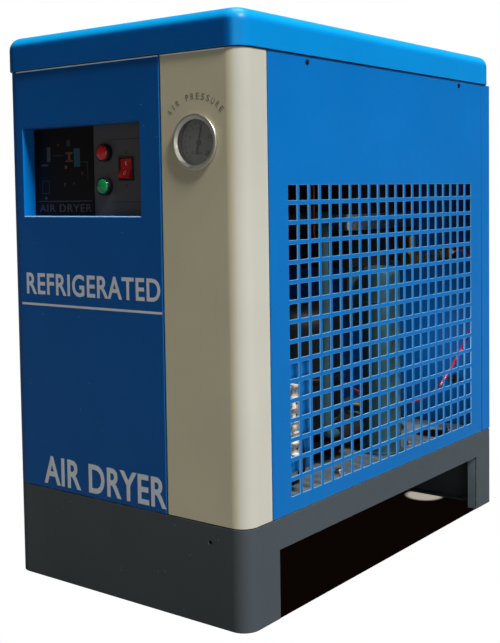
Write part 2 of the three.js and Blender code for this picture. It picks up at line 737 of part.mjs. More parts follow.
// Hat-shaped strap that carries the motor in front of the ring.
function fanBracket() {
  const half = 12;
  const { y, z, radius } = FAN;
  const reach = radius + 14;
  const foot = SHROUD_X + SHEET + TOUCH;
  const steel = 2;
  const toe = 14;
  const strap = block(STRAP_X - steel, STRAP_X, y - half, y + half, z - reach, z + reach);
  const legs = [-1, 1].flatMap((side) => {
    const [z0, z1] = [side * (reach - steel), side * reach].sort((a, b) => a - b);
    const [f0, f1] = [side * (reach - steel), side * (reach + toe)].sort((a, b) => a - b);
    return [
      block(foot, STRAP_X, y - half, y + half, z + z0, z + z1),
      block(foot, foot + steel, y - half, y + half, z + f0, z + f1),
    ];
  });
  return cut(joined(strap, ...legs), bar('x', 6, STRAP_X - 5, STRAP_X + 5, [0, y, z], 16));
}

function fanMotor() {
  const start = STRAP_X + TOUCH;
  const end = -52;
  return turned(
    [
      [0, start + 2], [6, start + 2], [6, start], [30, start], [38, start + 6], [38, end - 8], [30, end],
      [0, end],
    ],
    'x',
    [0, FAN.y, FAN.z],
  );
}

place('condenser_coil', condenserCoil(), 'aluminium');
place('fan_shroud', fanShroud(), 'blackPaint');
place('fan_blades', fanBlades(), 'aluminium');
place('fan_bracket', fanBracket(), 'steel');
place('fan_motor', fanMotor(), 'blackPaint');

// ---------------------------------------------------------------- air side
// Foam-covered heat exchanger, its upright edges chamfered.
function heatExchanger() {
  const { left: x0, right: x1, front: y0, rear: y1, bottom, top } = EXCHANGER;
  const c = 12;
  return prism(
    [
      [x0 + c, y0], [x1 - c, y0], [x1, y0 + c], [x1, y1 - c], [x1 - c, y1], [x0 + c, y1], [x0, y1 - c],
      [x0, y0 + c],
    ],
    bottom,
    top,
  );
}

// Threaded socket through the rear panel, with a collar outside it and a blind bore.
function airPort(x) {
  const start = EXCHANGER.rear + TOUCH;
  const collar = DEPTH + TOUCH;
  return turned(
    [
      [0, start], [22, start], [24, start + 2], [24, collar], [31, collar], [31, collar + 5],
      [25, collar + 5], [25, PORT_END - 1], [24, PORT_END], [17, PORT_END], [17, PORT_END - 50],
      [0, PORT_END - 50],
    ],
    'y',
    [x, 0, PORT_Z],
    16,
  );
}

function waterSeparator() {
  const { x, y, radius: r, top } = SEPARATOR;
  const bottom = FLOOR_TOP + TOUCH;
  return turned(
    [
      [0, bottom], [r + 4, bottom], [r + 4, bottom + 3], [r, bottom + 3], [r, top - 12], [r - 4, top - 5],
      [r - 12, top - 1], [0, top],
    ],
    'z',
    [x, y, 0],
    20,
  );
}

// Cold air leaves the exchanger's underside and enters the separator's wall.
function separatorPipe() {
  const { x, y, radius } = SEPARATOR;
  const drop = [85, y, 320];
  const end = x - radius - 0.6;
  return pipe([[drop[0], y, EXCHANGER.bottom - TOUCH], drop, [end, y, drop[2]]], 11, 12, 12);
}

place('heat_exchanger', heatExchanger(), 'foam');
place('air_inlet_port', airPort(PORTS[0]), 'steel');
place('air_outlet_port', airPort(PORTS[1]), 'steel');
place('water_separator', waterSeparator(), 'tankPaint');
place('separator_pipe', separatorPipe(), 'tankPaint');

// ---------------------------------------------------------------- condensate drain
// Y-pattern strainer and the pipe that feeds it from the separator.
function drainStrainer() {
  const { y, z } = DRAIN;
  const body = bar('x', 12, 32, 72, [0, y, z], 16);
  const cap = bar('z', 9, -21, 0, [46, y, z], 12);
  const wall = SEPARATOR.y + SEPARATOR.radius + 0.6;
  const feed = pipe([[SEPARATOR.x, wall, z], [SEPARATOR.x, y, z], [70, y, z]], 6, 14, 10);
  return joined(body, cap, feed);
}

// Ball valve with its stem upright.
function drainValveBody() {
  const { y, z, valveX } = DRAIN;
  const body = bar('x', 13, valveX - 20, valveX + 26, [0, y, z], 8);
  return joined(body, bar('z', 6, 0, LEVER_Z - z - TOUCH, [valveX, y, z], 12));
}

function drainValveLever() {
  const { y, valveX } = DRAIN;
  const half = 6;
  const arm = block(valveX, valveX + 62, y - half, y + half, LEVER_Z, LEVER_Z + 3);
  return joined(arm, bar('z', 8, LEVER_Z, LEVER_Z + 5, [valveX, y, 0], 16));
}

// Timer-operated drain: brass body with its coil housing on top, on a nipple from the valve.
function autoDrain() {
  const { y, z, valveX, outletX: x } = DRAIN;
  const body = block(x - 22, x + 16, y - 18, y + 18, z - 14, z + 16);
  const coil = block(x - 20, x + 14, y - 20, y + 20, z + 15, z + 62);
  return joined(body, coil, bar('x', 7, x + 10, valveX - 20 - TOUCH, [0, y, z], 12));
}

// Hose stub from the timer drain out through the rear panel.
function drainOutlet() {
  const start = DRAIN.y + 18 + TOUCH;
  const end = 690;
  const [outer, inner] = [6, 4];
  return turned(
    [[inner, start], [outer, start], [outer, end], [inner, end], [inner, start]],
    'y',
    [DRAIN.outletX, 0, DRAIN.z],
    16,
  );
}

place('drain_strainer', drainStrainer(), 'brass');
place('drain_valve_body', drainValveBody(), 'brass');
place('drain_valve_lever', drainValveLever(), 'yellowPlastic');
place('auto_drain', autoDrain(), 'blackPlastic');
place('drain_outlet', drainOutlet(), 'steel');

// ---------------------------------------------------------------- refrigerant circuit
// From the exchanger forward, down beside the grille, and back to the side of the shell.
function suctionLine() {
  const { x, y, top, bottom } = RISER;
  const start = 60;
  const inlet = [COMPRESSOR.x + COMPRESSOR.radius + 0.4, COMPRESSOR.y, bottom];
  return pipe(
    [
      [start, EXCHANGER.front - TOUCH, top], [start, y, top], [x, y, top], [x, y, bottom],
      [x, COMPRESSOR.y, bottom], inlet,
    ],
    6.5,
    12,
    8,
  );
}

// From the compressor's shoulder forward and across to the top of the condenser.
function dischargeLine() {
  const { x, run, y } = COIL_TAIL;
  const [low, high] = [300, 520];
  return pipe(
    [[-31.4, 303.2, low], [-45, 285, low], [-45, run, low], [x, run, low], [x, run, high], [x, y, high]],
    4.8,
    16,
  );
}

// From the bottom of the condenser to the drier.
function liquidLine() {
  const { x, run, y } = COIL_TAIL;
  const { x: dx, y: dy, bottom } = DRIER;
  const z = 180;
  return pipe([[x, y, z], [x, run, z], [dx, run, z], [dx, dy, z], [dx, dy, bottom - TOUCH]], 4, 12);
}

function filterDrier() {
  const { x, y, bottom, top } = DRIER;
  return turned(
    [
      [0, bottom], [5, bottom], [6, bottom + 10], [16, bottom + 20], [16, top - 20], [6, top - 10],
      [5, top], [0, top],
    ],
    'z',
    [x, y, 0],
    16,
  );
}

// Capillary tube: up from the drier, wound in an upright helix, then back to the exchanger.
function capillaryCoil() {
  const turns = 3;
  const radius = 30;
  const start = 430;
  const rise = 6;
  const stepsPerTurn = 10;
  const centre = DRIER.x + radius;
  const helix = Array.from({ length: turns * stepsPerTurn + 1 }, (_, i) => {
    const angle = Math.PI + (2 * Math.PI * i) / stepsPerTurn;
    return new THREE.Vector3(
      centre + radius * Math.cos(angle),
      DRIER.y + radius * Math.sin(angle),
      start + (rise * i) / stepsPerTurn,
    );
  });
  const stops = [
    new THREE.Vector3(DRIER.x, DRIER.y, DRIER.top + TOUCH),
    new THREE.Vector3(DRIER.x, DRIER.y + 3, start - 14),
    ...helix,
    new THREE.Vector3(DRIER.x + 4, DRIER.y - 22, start + rise * turns + 6),
    new THREE.Vector3(-40, 110, 462),
    new THREE.Vector3(0, 125, 466),
    new THREE.Vector3(10, 200, 460),
    new THREE.Vector3(10, EXCHANGER.front - TOUCH, 440),
  ];
  return tube(stops, 1.5, 5);
}

// Brass valve that bleeds hot gas to the exchanger, with an upright adjusting stem under its cap.
function hotGasValve() {
  const { x, y, z, rear } = BYPASS;
  const body = bar('y', 11, y - 17, rear, [x, 0, z], 6);
  const stem = bar('z', 8, 0, 34, [x, y, z], 16);
  return joined(body, stem, bar('x', 5, EXCHANGER.right + TOUCH, x, [0, y, z], 12));
}

function bypassLine() {
  const { x, z, rear } = BYPASS;
  return bar('y', 4.5, rear + TOUCH, SWITCH_BLOCK.front - TOUCH, [x, 0, z], 10);
}

// Pressure switch in a brass block, with a well round its reset button.
function pressureSwitch() {
  const { left, right, front, rear, bottom, top } = SWITCH_BLOCK;
  const well = bar('z', BUTTON.radius + 0.5, top - 9, top + OVERCUT, [BUTTON.x, BUTTON.y, 0], 16);
  return cut(block(left, right, front, rear, bottom, top), well);
}

function resetButton() {
  const { x, y, radius } = BUTTON;
  return bar('z', radius, SWITCH_BLOCK.top - 5, SWITCH_BLOCK.top + 6, [x, y, 0], 16);
}

// Thin tube from the suction pipe to the back of the gauge.
function gaugeTube() {
  const { x, y } = RISER;
  const tap = 450;
  const drop = y - 24;
  return pipe(
    [
      [GAUGE.x, 40 + TOUCH, GAUGE.z], [GAUGE.x, 90, GAUGE.z], [150, 180, 565], [x, drop, 530],
      [x, drop, tap], [x, y - 6.9, tap],
    ],
    1.8,
    14,
    6,
  );
}

place('suction_line', suctionLine(), 'tankPaint');
place('discharge_line', dischargeLine(), 'copper');
place('liquid_line', liquidLine(), 'copper');
place('filter_drier', filterDrier(), 'copper');
place('capillary_coil', capillaryCoil(), 'copper');
place('hot_gas_valve', hotGasValve(), 'brass');
place('bypass_line', bypassLine(), 'brass');
place('pressure_switch', pressureSwitch(), 'brass');
place('reset_button', resetButton(), 'redPlastic');
place('gauge_tube', gaugeTube(), 'copper');

// ---------------------------------------------------------------- electrical pieces
// Angle bracket behind the grille's front edge, and the terminal strip on it.
function componentBracket() {
  const path = [[170, 178], [170, 57.2], [186, 57.2]];
  return foldedSheet(path, 160, 305);
}

function terminalBlock() {
  const bayCount = 6;
  const pitch = 14.4;
  const face = 186;
  const base = block(172, face, 108, 132, 184, 276);
  const bays = Array.from({ length: bayCount }, (_, i) => {
    const z = 188 + i * pitch;
    return block(182, face + OVERCUT, 110, 130, z, z + 12);
  });
  return cut(base, ...bays);
}

function runCapacitor() {
  return bar('z', 22, FLOOR_TOP + TOUCH, 222, [100, 150, 0]);
}

// Nut and tapered clamp round an open way for the mains cable.
function cableGland() {
  const outside = DEPTH + TOUCH;
  return turned(
    [
      [4, 650], [8, 650], [8, outside], [13, outside], [13, outside + 6], [10, outside + 7],
      [9, 690], [5, 692], [4, 692], [4, 650],
    ],
    'y',
    [GLAND.x, 0, GLAND.z],
    16,
  );
}

// Lead from the pressure switch, down beside the rear corner and forward to the compressor.
function redWire() {
  const points = [
    [158.2, 611, 416], [165, 611, 420], [176, 616, 419], [183, 630, 408], [186, 646, 378],
    [186, 650, 340], [184, 640, 304], [182, 606, 268], [180, 566, 236], [172, 528, 206],
    [150, 498, 190], [112, 481, 186], [72, 473, 198], [42.5, 460, 216],
  ].map((point) => new THREE.Vector3(...point));
  return tube(new THREE.CatmullRomCurve3(points).getSpacedPoints(30), 1.7, 6);
}

place('component_bracket', componentBracket(), 'bluePaint');
place('terminal_block', terminalBlock(), 'whitePlastic');
place('run_capacitor', runCapacitor(), 'aluminium');
place('cable_gland', cableGland(), 'blackPlastic');
place('red_wire', redWire(), 'redPlastic');

dryer.position.y = -(PORT_END - BEZEL_PROUD) / 2;

export default dryer;
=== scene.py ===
"""Refrigerated air dryer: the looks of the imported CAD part, built around it as a fixed frame.

Shapes are modelled in machine millimetres (x from the cabinet's middle, y back from its front face,
z up from the ground), and at() turns those into the frame's metres.
"""
import math
from bisect import bisect_right
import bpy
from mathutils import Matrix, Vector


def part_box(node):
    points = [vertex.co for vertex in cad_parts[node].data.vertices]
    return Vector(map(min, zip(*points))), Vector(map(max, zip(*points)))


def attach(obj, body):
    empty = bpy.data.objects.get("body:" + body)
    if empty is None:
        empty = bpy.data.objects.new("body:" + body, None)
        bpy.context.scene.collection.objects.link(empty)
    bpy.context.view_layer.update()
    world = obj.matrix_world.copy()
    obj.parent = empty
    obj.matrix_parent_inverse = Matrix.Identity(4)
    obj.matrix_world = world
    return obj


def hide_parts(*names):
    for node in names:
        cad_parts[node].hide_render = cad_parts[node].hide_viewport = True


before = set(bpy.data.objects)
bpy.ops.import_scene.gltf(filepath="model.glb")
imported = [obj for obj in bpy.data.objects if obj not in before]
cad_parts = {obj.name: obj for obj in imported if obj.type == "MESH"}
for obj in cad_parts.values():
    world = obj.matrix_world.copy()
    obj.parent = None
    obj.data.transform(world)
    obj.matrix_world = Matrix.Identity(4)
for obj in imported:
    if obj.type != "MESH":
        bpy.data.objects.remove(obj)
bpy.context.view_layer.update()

from types import SimpleNamespace

import bmesh
import bpy
from mathutils import Matrix, Vector

MM = 0.001
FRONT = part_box("front_panel")[0].y

# ------------------------------------------------------------------ driving dimensions, millimetres
SHEET = 1.5
BASE_SHEET = 2.5
TOUCH = 0.3
FOLD = 2.0  # outer radius of a sheet's folds
RETURN = 12
FRONT_CORNER = 22
REAR_CORNER = 3
GRILLE = SimpleNamespace(columns=21, rows=16, pitch=24.2, hole=18.7, y=92.2, z=143.7)
LOUVRE = SimpleNamespace(columns=3, rows=17, width=118, height=9, pitch_y=142, pitch_z=24)
OPENING = SimpleNamespace(front=66.3, rear=613.6, height=84.8)
LID = SimpleNamespace(rounding=17, wall=2, lip=14)
PANEL_SCREW_Y = (136.2, 552.6)
PANEL_SCREW_Z = 675.9
GAUGE_HOLE = 30.6
FLOOR_HOLE = SimpleNamespace(radius=31, x=143, y=574)
DRAIN_Y = 492
COIL_X = -158
RISER = SimpleNamespace(x=130, y=277, foot=175)
TERMINAL = SimpleNamespace(x=182, y=120, z=194, pitch=14.4)
NEEDLE_LEAN = 13


# ------------------------------------------------------------------ camera
def make_camera():
    """The view from the front right, a little above the middle of the machine."""
    yaw, pitch, roll = (math.radians(angle) for angle in (37.4836, 3.3695, -0.85406))
    forward = Vector(
        (-math.sin(yaw) * math.cos(pitch), math.cos(yaw) * math.cos(pitch), -math.sin(pitch))
    )
    level = Vector((math.cos(yaw), math.sin(yaw), 0))
    upright = level.cross(forward)
    right = level * math.cos(roll) + upright * math.sin(roll)
    up = upright * math.cos(roll) - level * math.sin(roll)
    data = bpy.data.cameras.new("camera")
    data.sensor_width = 36
    data.lens = 59.96
    data.shift_x = 0.0140
    data.shift_y = -0.1020
    camera = bpy.data.objects.new("camera", data)
    bpy.context.scene.collection.objects.link(camera)
    turn = Matrix((right, up, -forward)).transposed().to_4x4()
    camera.matrix_world = Matrix.Translation((0.94053, FRONT - 0.96852, 0.51663)) @ turn
    bpy.context.scene.camera = camera


make_camera()


# ------------------------------------------------------------------ mesh helpers
def at(x, y, z):
    """A point in machine millimetres as a point in the frame."""
    return Vector((x * MM, FRONT + y * MM, z * MM))


def box_mm(node):
    """A CAD node's box in machine millimetres, with its middle and half sizes."""
    low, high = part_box(node)
    x0, x1 = low.x / MM, high.x / MM
    y0, y1 = (low.y - FRONT) / MM, (high.y - FRONT) / MM
    z0, z1 = low.z / MM, high.z / MM
    return SimpleNamespace(
        x0=x0, x1=x1, y0=y0, y1=y1, z0=z0, z1=z1,
        x=(x0 + x1) / 2, y=(y0 + y1) / 2, z=(z0 + z1) / 2,
    )


def skin(bm, rings, loop=False):
    """Joins consecutive rings of vertices with faces. A ring of one vertex closes as a fan."""
    pairs = list(zip(rings, rings[1:]))
    if loop:
        pairs.append((rings[-1], rings[0]))
    for near, far in pairs:
        count = max(len(near), len(far))
        for i in range(count):
            j = (i + 1) % count
            corners = [near[i % len(near)], near[j % len(near)], far[j % len(far)], far[i % len(far)]]
            face = list(dict.fromkeys(corners))
            if len(face) > 2:
                bm.faces.new(face)


AXES = {
    "x": (Vector((0, 1, 0)), Vector((0, 0, 1)), Vector((1, 0, 0))),
    "y": (Vector((0, 0, 1)), Vector((1, 0, 0)), Vector((0, 1, 0))),
    "z": (Vector((1, 0, 0)), Vector((0, 1, 0)), Vector((0, 0, 1))),
}


def turned(bm, profile, axis, centre, sides=64, loop=False, start=0.0):
    """Adds a body of revolution from (radius, height along the axis) pairs."""
    side, up, along = AXES[axis]
    rings = []
    for radius, height in profile:
        middle = Vector(centre) + along * height
        if radius == 0:
            rings.append([bm.verts.new(middle)])
            continue
        angles = [start + 2 * math.pi * i / sides for i in range(sides)]
        rings.append(
            [bm.verts.new(middle + (side * math.cos(a) + up * math.sin(a)) * radius) for a in angles]
        )
    skin(bm, rings, loop)


def rod(bm, axis, radius, start, end, centre, sides=32, edge=0.0, turn=0.0):
    """Adds a round or polygonal bar, its end edges broken by a small chamfer."""
    profile = [
        (0, start), (radius - edge, start), (radius, start + edge), (radius, end - edge),
        (radius - edge, end), (0, end),
    ]
    profile = list(dict.fromkeys(profile))
    turned(bm, profile, axis, centre, sides, start=turn)


def block(bm, x0, x1, y0, y1, z0, z1):
    low, high = Vector((x0, y0, z0)), Vector((x1, y1, z1))
    matrix = Matrix.Translation((low + high) / 2) @ Matrix.Diagonal((*(high - low), 1))
    bmesh.ops.create_cube(bm, size=1, matrix=matrix)


def arc(cx, cy, radius, start, end, steps=8):
    """Points round a circle from one angle to another, in degrees."""
    angles = [math.radians(start + (end - start) * i / steps) for i in range(steps + 1)]
    return [(cx + radius * math.cos(a), cy + radius * math.sin(a)) for a in angles]


def rounded_rect(x0, x1, y0, y1, front, rear=None, steps=10):
    """A rectangle's plan outline, counter-clockwise, with round front and rear corners."""
    rear = front if rear is None else rear
    return [
        *arc(x0 + front, y0 + front, front, 180, 270, steps),
        *arc(x1 - front, y0 + front, front, 270, 360, steps),
        *arc(x1 - rear, y1 - rear, rear, 0, 90, steps),
        *arc(x0 + rear, y1 - rear, rear, 90, 180, steps),
    ]


def filleted(points, radii, steps=8):
    """A path of square corners with each inner corner rounded by its own radius."""
    path = [Vector(points[0])]
    for before, corner, after, radius in zip(points, points[1:], points[2:], radii):
        corner = Vector(corner)
        into = (corner - Vector(before)).normalized()
        out = (Vector(after) - corner).normalized()
        centre = corner - into * radius + out * radius
        for i in range(steps + 1):
            angle = math.pi / 2 * i / steps
            path.append(centre - out * radius * math.cos(angle) + into * radius * math.sin(angle))
    path.append(Vector(points[-1]))
    return path


def bent(points, bend, steps=8):
    """A route's corners rounded, for a pipe."""
    points = [Vector(point) for point in points]
    route = [points[0]]
    for before, corner, after in zip(points, points[1:], points[2:]):
        back, ahead = before - corner, after - corner
        reach = min(bend, back.length * 0.45, ahead.length * 0.45)
        start, end = corner + back.normalized() * reach, corner + ahead.normalized() * reach
        for i in range(steps + 1):
            t = i / steps
            route.append(start * (1 - t) ** 2 + corner * 2 * t * (1 - t) + end * t * t)
    route.append(points[-1])
    return route


def flowing(points, steps=8):
    """A smooth route through given points."""
    points = [Vector(point) for point in points]
    ends = [2 * points[0] - points[1], *points, 2 * points[-1] - points[-2]]
    route = []
    for a, b, c, d in zip(ends, ends[1:], ends[2:], ends[3:]):
        for i in range(steps):
            t = i / steps
            route.append(
                (2 * b + (c - a) * t + (2 * a - 5 * b + 4 * c - d) * t**2
                 + (3 * b - a - 3 * c + d) * t**3) / 2
            )
    route.append(points[-1])
    return route


def swept(bm, route, radius, sides=16):
    """Adds a round tube along a route, with flat ends."""
    route = [Vector(point) for point in route]
    route = [p for i, p in enumerate(route) if i == 0 or (p - route[i - 1]).length > 1e-4]
    tangents = [
        (route[min(i + 1, len(route) - 1)] - route[max(i - 1, 0)]).normalized()
        for i in range(len(route))
    ]
    normal = tangents[0].orthogonal().normalized()
    rings = [[bm.verts.new(route[0])]]
    for point, tangent in zip(route, tangents):
        normal = (normal - tangent * normal.dot(tangent)).normalized()
        across = tangent.cross(normal)
        angles = [2 * math.pi * i / sides for i in range(sides)]
        rings.append(
            [bm.verts.new(point + (normal * math.cos(a) + across * math.sin(a)) * radius) for a in angles]
        )
    rings.append([bm.verts.new(route[-1])])
    skin(bm, rings)


def folded(bm, path, z0, z1, holes=()):
    """Adds the outer face of an upright folded sheet. Its outside is to the right of the path.

    holes are (from, to, bottom, top), measured along the axis of the path's longest run.
    """
    marks = [0.0]
    for near, far in zip(path, path[1:]):
        marks.append(marks[-1] + (far - near).length)
    main = max(range(len(path) - 1), key=lambda i: marks[i + 1] - marks[i])
    run = (path[main + 1] - path[main]).normalized()
    axis = 0 if abs(run[0]) > abs(run[1]) else 1
    cuts = []
    for start, end, low, high in holes:
        reach = sorted(marks[main] + (value - path[main][axis]) / run[axis] for value in (start, end))
        cuts.append((round(reach[0], 3), round(reach[1], 3), low, high))
    columns = sorted({round(mark, 3) for mark in marks} | {v for c in cuts for v in c[:2]})
    rows = sorted({z0, z1} | {v for c in cuts for v in c[2:]})

    def corner(distance, z):
        k = min(max(bisect_right(marks, distance) - 1, 0), len(path) - 2)
        point = path[k].lerp(path[k + 1], (distance - marks[k]) / (marks[k + 1] - marks[k]))
        return bm.verts.new((point.x, point.y, z))

    grid = [[corner(distance, z) for z in rows] for distance in columns]
    for i, (left, right) in enumerate(zip(columns, columns[1:])):
        for j, (low, high) in enumerate(zip(rows, rows[1:])):
            across, up = (left + right) / 2, (low + high) / 2
            if any(c[0] < across < c[1] and c[2] < up < c[3] for c in cuts):
                continue
            bm.faces.new((grid[i][j], grid[i + 1][j], grid[i + 1][j + 1], grid[i][j + 1]))
    bmesh.ops.delete(bm, geom=[v for v in bm.verts if not v.link_faces], context="VERTS")


def plate_ring(bm, outer, inner, z0, z1):
    """Adds a flat ring between two plan outlines with the same number of points."""
    rings = [[bm.verts.new((*p, z)) for p in line] for line, z in
             ((outer, z0), (outer, z1), (inner, z1), (inner, z0))]
    skin(bm, rings, loop=True)


def lettering(bm, text, x0, x1, z0, z1, y, thickness=0.12, bold=0.0, spacing=1.0):
    """Adds plain lettering that fills a rectangle on a face that looks forward."""
    curve = bpy.data.curves.new("lettering", "FONT")
    curve.body = text
    curve.offset = bold
    curve.extrude = 0.05
    curve.resolution_u = 5
    curve.space_character = spacing
    holder = bpy.data.objects.new("lettering", curve)
    bpy.context.scene.collection.objects.link(holder)
    graph = bpy.context.evaluated_depsgraph_get()
    mesh = bpy.data.meshes.new_from_object(holder.evaluated_get(graph))
    bpy.data.objects.remove(holder)
    bpy.data.curves.remove(curve)
    xs = [v.co.x for v in mesh.vertices]
    ys = [v.co.y for v in mesh.vertices]
    sx = (x1 - x0) / (max(xs) - min(xs))
    sz = (z1 - z0) / (max(ys) - min(ys))
    for v in mesh.vertices:
        depth = y - thickness * (v.co.z / 0.05 + 1) / 2
        v.co = Vector((x0 + (v.co.x - min(xs)) * sx, depth, z0 + (v.co.y - min(ys)) * sz))
    bm.from_mesh(mesh)
    bpy.data.meshes.remove(mesh)


# ------------------------------------------------------------------ materials
def srgb(red, green, blue):
    """A colour given as 0 to 255 values, in linear light."""
    def linear(value):
        value /= 255
        return value / 12.92 if value <= 0.04045 else ((value + 0.055) / 1.055) ** 2.4
    return (linear(red), linear(green), linear(blue), 1)


def toned(colour, factor):
    return (*(min(channel * factor, 1) for channel in colour[:3]), 1)


class Recipe:
    """One material: a Principled shader, and the nodes that feed it."""

    def __init__(self, name, **sockets):
        self.material = bpy.data.materials.new(name)
        self.material.use_nodes = True
        self.tree = self.material.node_tree
        self.tree.nodes.clear()
        self.surface = self.add("ShaderNodeBsdfPrincipled")
        self.output = self.add("ShaderNodeOutputMaterial", {"Surface": self.surface.outputs[0]})
        for socket, value in sockets.items():
            self.surface.inputs[socket.replace("_", " ")].default_value = value
        self.place = self.add("ShaderNodeTexCoord").outputs["Object"]

    def add(self, kind, inputs=None, **settings):
        node = self.tree.nodes.new(kind)
        for name, value in settings.items():
            setattr(node, name, value)
        for socket, value in (inputs or {}).items():
            if isinstance(value, bpy.types.NodeSocket):
                self.tree.links.new(value, node.inputs[socket])
            else:
                node.inputs[socket].default_value = value
        return node

    def feed(self, socket, value):
        self.tree.links.new(value, self.surface.inputs[socket])

    def stretched(self, x, y, z):
        scaling = self.add("ShaderNodeMapping", {"Vector": self.place, "Scale": (x, y, z)})
        return scaling.outputs[0]

    def noise(self, scale, detail=2.0, place=None):
        inputs = {"Vector": place or self.place, "Scale": scale, "Detail": detail}
        return self.add("ShaderNodeTexNoise", inputs).outputs[0]

    def span(self, value, low, high, start=0.0, end=1.0):
        inputs = {0: value, 1: low, 2: high, 3: start, 4: end}
        return self.add("ShaderNodeMapRange", inputs).outputs[0]

    def sum(self, operation, first, second):
        return self.add("ShaderNodeMath", {0: first, 1: second}, operation=operation).outputs[0]

    def mix(self, factor, first, second):
        inputs = {0: factor, 6: first, 7: second}
        return self.add("ShaderNodeMix", inputs, data_type="RGBA").outputs[2]

    def bump(self, height, strength, distance):
        inputs = {"Height": height, "Strength": strength, "Distance": distance}
        self.feed("Normal", self.add("ShaderNodeBump", inputs).outputs[0])

    def turned_to(self, axis, low, high):
        """0 where the surface's direction along an axis is the low value, 1 at the high one."""
        direction = self.add("ShaderNodeNewGeometry").outputs["Normal"]
        return self.span(self.add("ShaderNodeSeparateXYZ", {0: direction}).outputs[axis], low, high)

    def edges(self, radius):
        """1 along edges and 0 on flat faces."""
        soft = self.add("ShaderNodeBevel", {"Radius": radius * MM}, samples=4).outputs[0]
        hard = self.add("ShaderNodeNewGeometry").outputs["Normal"]
        alike = self.add("ShaderNodeVectorMath", {0: soft, 1: hard}, operation="DOT_PRODUCT")
        return self.span(alike.outputs["Value"], 0.985, 0.85)

    def specks(self, scale, size, share):
        """Small scattered dots: 1 inside one."""
        cells = self.add("ShaderNodeTexVoronoi", {"Vector": self.place, "Scale": scale})
        dot = self.sum("LESS_THAN", cells.outputs["Distance"], size)
        chosen = self.sum("GREATER_THAN", cells.outputs["Color"], 1 - share)
        return self.sum("MULTIPLY", dot, chosen)


def painted(name, colour, roughness, worn, peel=0.10, wear=0.5, dust=0.2, mottle=0.05, gloss=0.3,
            front=None, shade_reach=-0.7, rim=None, low_shade=0.0):
    """Powder coat: orange peel, slight mottling, worn edges and a few specks of dust.

    front is a painted shade, the colour of the faces that look forward; rim a painted highlight on
    the rounded upper edges; and the last argument a painted shade, darker paint near the ground.
    """
    recipe = Recipe(name, Specular_IOR_Level=gloss)
    cloud = recipe.span(recipe.noise(6, 4), 0.3, 0.7)
    tone = recipe.mix(cloud, toned(colour, 1 - mottle), toned(colour, 1 + mottle))
    # painted shade: faces that look forward take the darker front colour
    if front:
        painted_front_shade = recipe.mix(cloud, toned(front, 1 - mottle), toned(front, 1 + mottle))
        tone = recipe.mix(recipe.turned_to("Y", -0.97, shade_reach), painted_front_shade, tone)
    # painted highlight: rounded faces turned upwards take the rim colour
    if rim:
        painted_glint_mask = recipe.sum("MULTIPLY", recipe.turned_to("Z", 0.2, 0.5), recipe.turned_to("Z", 0.999, 0.97))
        tone = recipe.mix(painted_glint_mask, tone, rim)
    # painted shade: the colour is darkened towards the ground
    if low_shade:
        height = recipe.add("ShaderNodeSeparateXYZ", {0: recipe.place}).outputs["Z"]
        tone = recipe.mix(recipe.span(height, 0.1, 0.6, low_shade, 0.0), tone, toned(colour, 0.3))
    broken = recipe.span(recipe.noise(90, 5), 0.46, 0.62)
    edge = recipe.sum("MULTIPLY", recipe.edges(1.0), broken)
    tone = recipe.mix(recipe.sum("MULTIPLY", edge, wear), tone, worn)
    grains = recipe.specks(75, 0.045, dust)
    tone = recipe.mix(recipe.sum("MULTIPLY", grains, 0.45), tone, srgb(190, 195, 200))
    recipe.feed("Base Color", tone)
    rubbed = recipe.span(recipe.noise(18, 5), 0.3, 0.7, roughness * 0.86, roughness * 1.14)
    recipe.feed("Roughness", rubbed)
    recipe.bump(recipe.noise(650, 3), peel, 0.0006)
    return recipe.material


def metal(name, colour, roughness, stain, grain=(1, 1, 1), tarnish=0.4):
    """Bare metal with a drawn or cast grain and darker tarnish in patches."""
    recipe = Recipe(name, Metallic=1.0)
    patches = recipe.span(recipe.noise(22, 6), 0.42, 0.7, 0, tarnish)
    lines = recipe.noise(260, 3, recipe.stretched(*grain))
    tone = recipe.mix(patches, colour, stain)
    tone = recipe.mix(recipe.span(lines, 0.3, 0.7, 0, 0.25), tone, toned(stain, 0.8))
    recipe.feed("Base Color", tone)
    recipe.feed("Roughness", recipe.span(lines, 0.3, 0.7, roughness * 0.75, roughness * 1.35))
    recipe.bump(lines, 0.12, 0.0004)
    return recipe.material


def moulded(name, colour, roughness, grain=0.08, scale=900, worn=1.5, **sockets):
    """Moulded plastic or rubber with a fine skin, its edges rubbed a little lighter."""
    recipe = Recipe(name, **sockets)
    cloud = recipe.span(recipe.noise(30, 4), 0.3, 0.7)
    tone = recipe.mix(cloud, toned(colour, 0.9), toned(colour, 1.1))
    tone = recipe.mix(recipe.sum("MULTIPLY", recipe.edges(0.5), 0.35), tone, toned(colour, worn))
    grains = recipe.specks(160, 0.06, 0.12)
    tone = recipe.mix(recipe.sum("MULTIPLY", grains, 0.25), tone, srgb(150, 150, 145))
    recipe.feed("Base Color", tone)
    recipe.feed("Roughness", recipe.span(recipe.noise(70, 4), 0.3, 0.7, roughness * 0.85, roughness * 1.2))
    recipe.bump(recipe.noise(scale, 2), grain, 0.0004)
    return recipe.material


def foamed(name, colour):
    """Closed-cell insulation: a matt skin with open cells and rubbed patches."""
    recipe = Recipe(name)
    cells = recipe.add("ShaderNodeTexVoronoi", {"Vector": recipe.place, "Scale": 420}).outputs["Distance"]
    cloud = recipe.span(recipe.noise(14, 5), 0.35, 0.7)
    tone = recipe.mix(cloud, toned(colour, 0.7), toned(colour, 1.6))
    recipe.feed("Base Color", tone)
    recipe.feed("Roughness", recipe.span(cells, 0.0, 0.6, 0.8, 0.98))
    recipe.bump(cells, 0.35, 0.0008)
    return recipe.material


